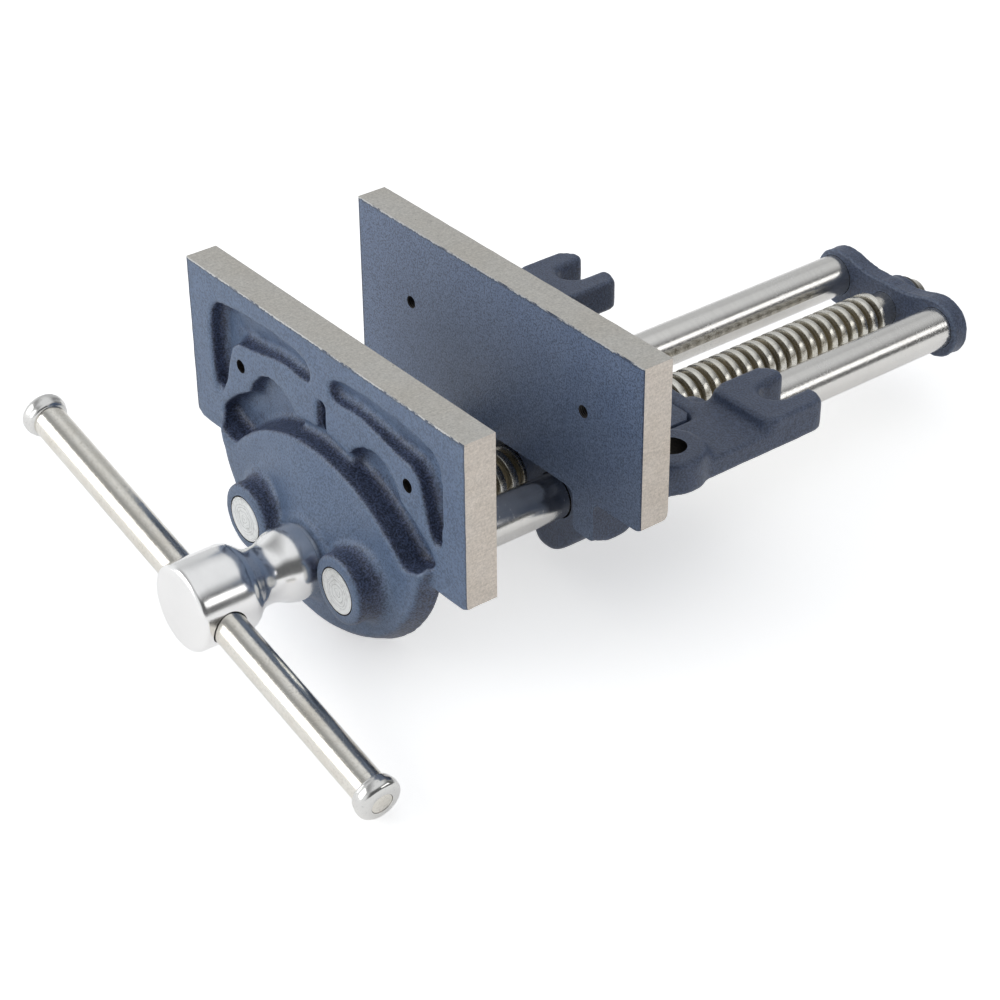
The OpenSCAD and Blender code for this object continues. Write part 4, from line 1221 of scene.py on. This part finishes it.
class VISE_OT_tommy_bar(Operator):
    """Turn the sliding bar and rivet its two caps on"""

    bl_idname = "vise.tommy_bar"
    bl_label = "Tommy bar"

    def execute(self, context):
        bar_r, rivet_r, cap_r, sides = 6.85 * MM, 4.3 * MM, 9.05 * MM, 96
        # Along the bar from its middle: shoulder where the grip ends, the cap's inner side, the end
        shoulder = 104.8 * MM
        seat = shoulder + 3.6 * MM
        end = shoulder + 11.5 * MM
        half = [
            (bar_r, seat), (rivet_r, seat), (rivet_r, end - 0.7 * MM), (rivet_r - 0.8 * MM, end - 0.3 * MM),
        ]
        bar = lathe("bar", [(radius, -y) for radius, y in reversed(half)] + half, 0.0, sides)
        lay_on_bar(bar)
        coat_slots(bar, [bar_steel()])
        soften(bar, 40)
        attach(bar, "bar")
        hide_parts("tommy_bar")
        # Cap: share of its length from its inner side, and share of its radius
        rise = [
            (0.0, 0.79), (0.04, 0.87), (0.1, 0.915), (0.2, 0.94), (0.28, 0.945), (0.36, 0.985), (0.46, 1.0),
            (0.6, 1.0), (0.73, 0.985), (0.84, 0.94), (0.92, 0.87), (0.97, 0.79), (1.0, 0.68),
        ]
        tip = end - 0.5 * MM
        for side, node, name in ((1, "bar_cap_right", "cap_right"), (-1, "bar_cap_left", "cap_left")):
            profile = [(share_r * cap_r, side * (seat + at * (tip - seat))) for at, share_r in rise]
            made = lathe(name, profile, 0.0, sides)
            start, stop = (0, side * (shoulder - 10 * MM), 0), (0, side * (end + 10 * MM), 0)
            cut(made, [plug("rivet_drill", rivet_r + 0.15 * MM, start, stop, sides)])
            modify(
                made, "BEVEL", width=0.25 * MM, segments=2, limit_method="ANGLE",
                angle_limit=math.radians(55),
            )
            face_out(made)
            lay_on_bar(made)
            coat_slots(made, [cap_plate()])
            soften(made, 40)
            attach(made, "bar")
            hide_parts(node)
        return {"FINISHED"}


class VISE_OT_guide_rods(Operator):
    """Finish the two ground guide rods"""

    bl_idname = "vise.guide_rods"
    bl_label = "Guide rods"

    def execute(self, context):
        for node in ("guide_rod_left", "guide_rod_right"):
            coat_node(node, ground_rod())
        return {"FINISHED"}


class VISE_OT_fastenings(Operator):
    """Finish the pins, washers and nut screws"""

    bl_idname = "vise.fastenings"
    bl_label = "Pins, washers and nut screws"

    def execute(self, context):
        black = ("rod_front_pins", "rod_rear_pins", "nut_screws", "nut_washers", "tail_washer", "tail_pin")
        for node in black:
            coat_node(node, oiled_black())
        for node in ("hub_pin", "thrust_washer"):
            coat_node(node, hub_plate())
        return {"FINISHED"}


def soft_lamp(name, place, size, watts):
    """Large lamp that shines on the vise."""
    clear_selection()
    bpy.ops.object.light_add(type="AREA", location=place)
    lamp = bpy.context.active_object
    lamp.name = name
    lamp.data.shape = "RECTANGLE"
    lamp.data.size, lamp.data.size_y = size
    lamp.data.energy = watts
    lamp.rotation_euler = (-Vector(place)).to_track_quat("-Z", "Y").to_euler()


def studio_floor(stage):
    """Pale floor under the vise, a little brighter where the camera or metal sees it."""
    clear_selection()
    bpy.ops.mesh.primitive_plane_add(size=12, location=(0, 0, CAD_BOX[0].z))
    floor = settle("studio_floor")
    made, sheet, place = material("studio floor")
    cloud = sheet.noise(place, 1.5, 2.0)
    tone = tuple(stage.floor_tone)
    shade = sheet.blend(cloud, tone, tuple(min(1.0, c + 0.02) for c in tone))
    diffuse = sheet.node("ShaderNodeBsdfDiffuse", {"Color": shade})
    path = sheet.node("ShaderNodeLightPath")
    mirrored = sheet.math("MAXIMUM", path.outputs["Is Glossy Ray"], path.outputs["Is Transmission Ray"])
    strength = sheet.plus(
        sheet.times(path.outputs["Is Camera Ray"], stage.floor_glow), sheet.times(mirrored, stage.gloss_glow)
    )
    glow = sheet.node("ShaderNodeEmission", {"Color": (1, 1, 1), "Strength": strength})
    both = sheet.node("ShaderNodeAddShader")
    sheet.tree.links.new(diffuse.outputs[0], both.inputs[0])
    sheet.tree.links.new(glow.outputs[0], both.inputs[1])
    out = sheet.node("ShaderNodeOutputMaterial")
    sheet.tree.links.new(both.outputs[0], out.inputs[0])
    coat_slots(floor, [made])


def studio_room(stage):
    """Room that the metal mirrors: pale at the left and overhead, dark at the right, white to the camera."""
    world = bpy.data.worlds.new("studio room")
    bpy.context.scene.world = world
    world.use_nodes = True
    world.node_tree.nodes.clear()
    sky = Sheet(world.node_tree)
    direction = sky.node("ShaderNodeTexCoord").outputs["Generated"]
    way = sky.node("ShaderNodeSeparateXYZ", {0: direction})
    x, y, z = way.outputs
    back = sky.ramp(x, -0.6, 0.2, stage.pale_room, stage.dark_room)
    overhead = sky.ramp(z, 0.6, 0.82)
    back = sky.plus(back, sky.times(overhead, sky.math("SUBTRACT", stage.ceiling, back)))
    front = sky.ramp(z, 0.4, 0.8, stage.front_room, 0.4 * stage.front_room)
    toward = sky.plus(sky.times(x, -0.55), sky.times(y, -0.83))
    lift = sky.times(sky.ramp(toward, 0.05, 0.45), sky.math("SUBTRACT", front, back))
    level = sky.plus(back, lift)
    room = sky.node("ShaderNodeBackground", {"Color": (0.96, 0.98, 1.0), "Strength": level})
    white = sky.node("ShaderNodeBackground", {"Color": (1, 1, 1), "Strength": 1.0})
    seen = sky.node("ShaderNodeLightPath").outputs["Is Camera Ray"]
    mixed = sky.node("ShaderNodeMixShader", {"Fac": seen})
    sky.tree.links.new(room.outputs[0], mixed.inputs[1])
    sky.tree.links.new(white.outputs[0], mixed.inputs[2])
    out = sky.node("ShaderNodeOutputWorld")
    sky.tree.links.new(mixed.outputs[0], out.inputs[0])


def photo_camera(stage):
    """Camera fitted to the photo's view."""
    clear_selection()
    bpy.ops.object.camera_add(location=stage.camera_place, rotation=stage.camera_turn)
    camera = bpy.context.active_object
    camera.name = "photo_camera"
    camera.data.sensor_width = 36
    camera.data.lens = stage.lens_mm
    camera.data.clip_start = 0.05
    camera.data.clip_end = 50
    camera.data.dof.use_dof = False
    bpy.context.scene.camera = camera


class VISE_OT_stage(Operator):
    """Set the floor, the room, the soft lamps and the camera"""

    bl_idname = "vise.stage"
    bl_label = "Stage"

    def execute(self, context):
        stage = context.scene.vise_stage
        studio_floor(stage)
        studio_room(stage)
        soft_lamp("front_lamp", (-0.7, -1.4, 0.65), (1.3, 1.1), stage.front_power)
        soft_lamp("strip_lamp", (1.2, 0.82, 0.66), (1.2, 0.42), stage.strip_power)
        photo_camera(stage)
        context.scene.view_settings.view_transform = "Standard"
        return {"FINISHED"}


class VISE_PT_panel(Panel):
    """Lists the vise's pieces and their settings"""

    bl_idname = "VISE_PT_panel"
    bl_label = "Vise"
    bl_space_type = "VIEW_3D"
    bl_region_type = "UI"
    bl_category = "Vise"

    def draw(self, context):
        layout = self.layout
        for step in PIECES:
            layout.operator(step.bl_idname)
        for key, kind in SETTINGS.items():
            box = layout.box()
            for field in kind.__annotations__:
                box.prop(getattr(context.scene, key), field)


PIECES = [
    VISE_OT_stage, VISE_OT_moving_jaw, VISE_OT_fixed_jaw, VISE_OT_end_plate, VISE_OT_screw_nut,
    VISE_OT_lead_screw, VISE_OT_hub, VISE_OT_tommy_bar, VISE_OT_guide_rods, VISE_OT_fastenings,
]
SETTINGS = {
    "vise_castings": ViseCastings, "vise_paint": VisePaint, "vise_steel": ViseSteel, "vise_stage": ViseStage,
}


def register():
    for kind in (*SETTINGS.values(), *PIECES, VISE_PT_panel):
        bpy.utils.register_class(kind)
    for key, kind in SETTINGS.items():
        setattr(bpy.types.Scene, key, bpy.props.PointerProperty(type=kind))


def unregister():
    for key in SETTINGS:
        delattr(bpy.types.Scene, key)
    for kind in (VISE_PT_panel, *reversed(PIECES), *reversed(list(SETTINGS.values()))):
        bpy.utils.unregister_class(kind)


def main():
    register()
    for step in PIECES:
        getattr(bpy.ops.vise, step.bl_idname.split(".")[1])()


if __name__ == "__main__":
    main()
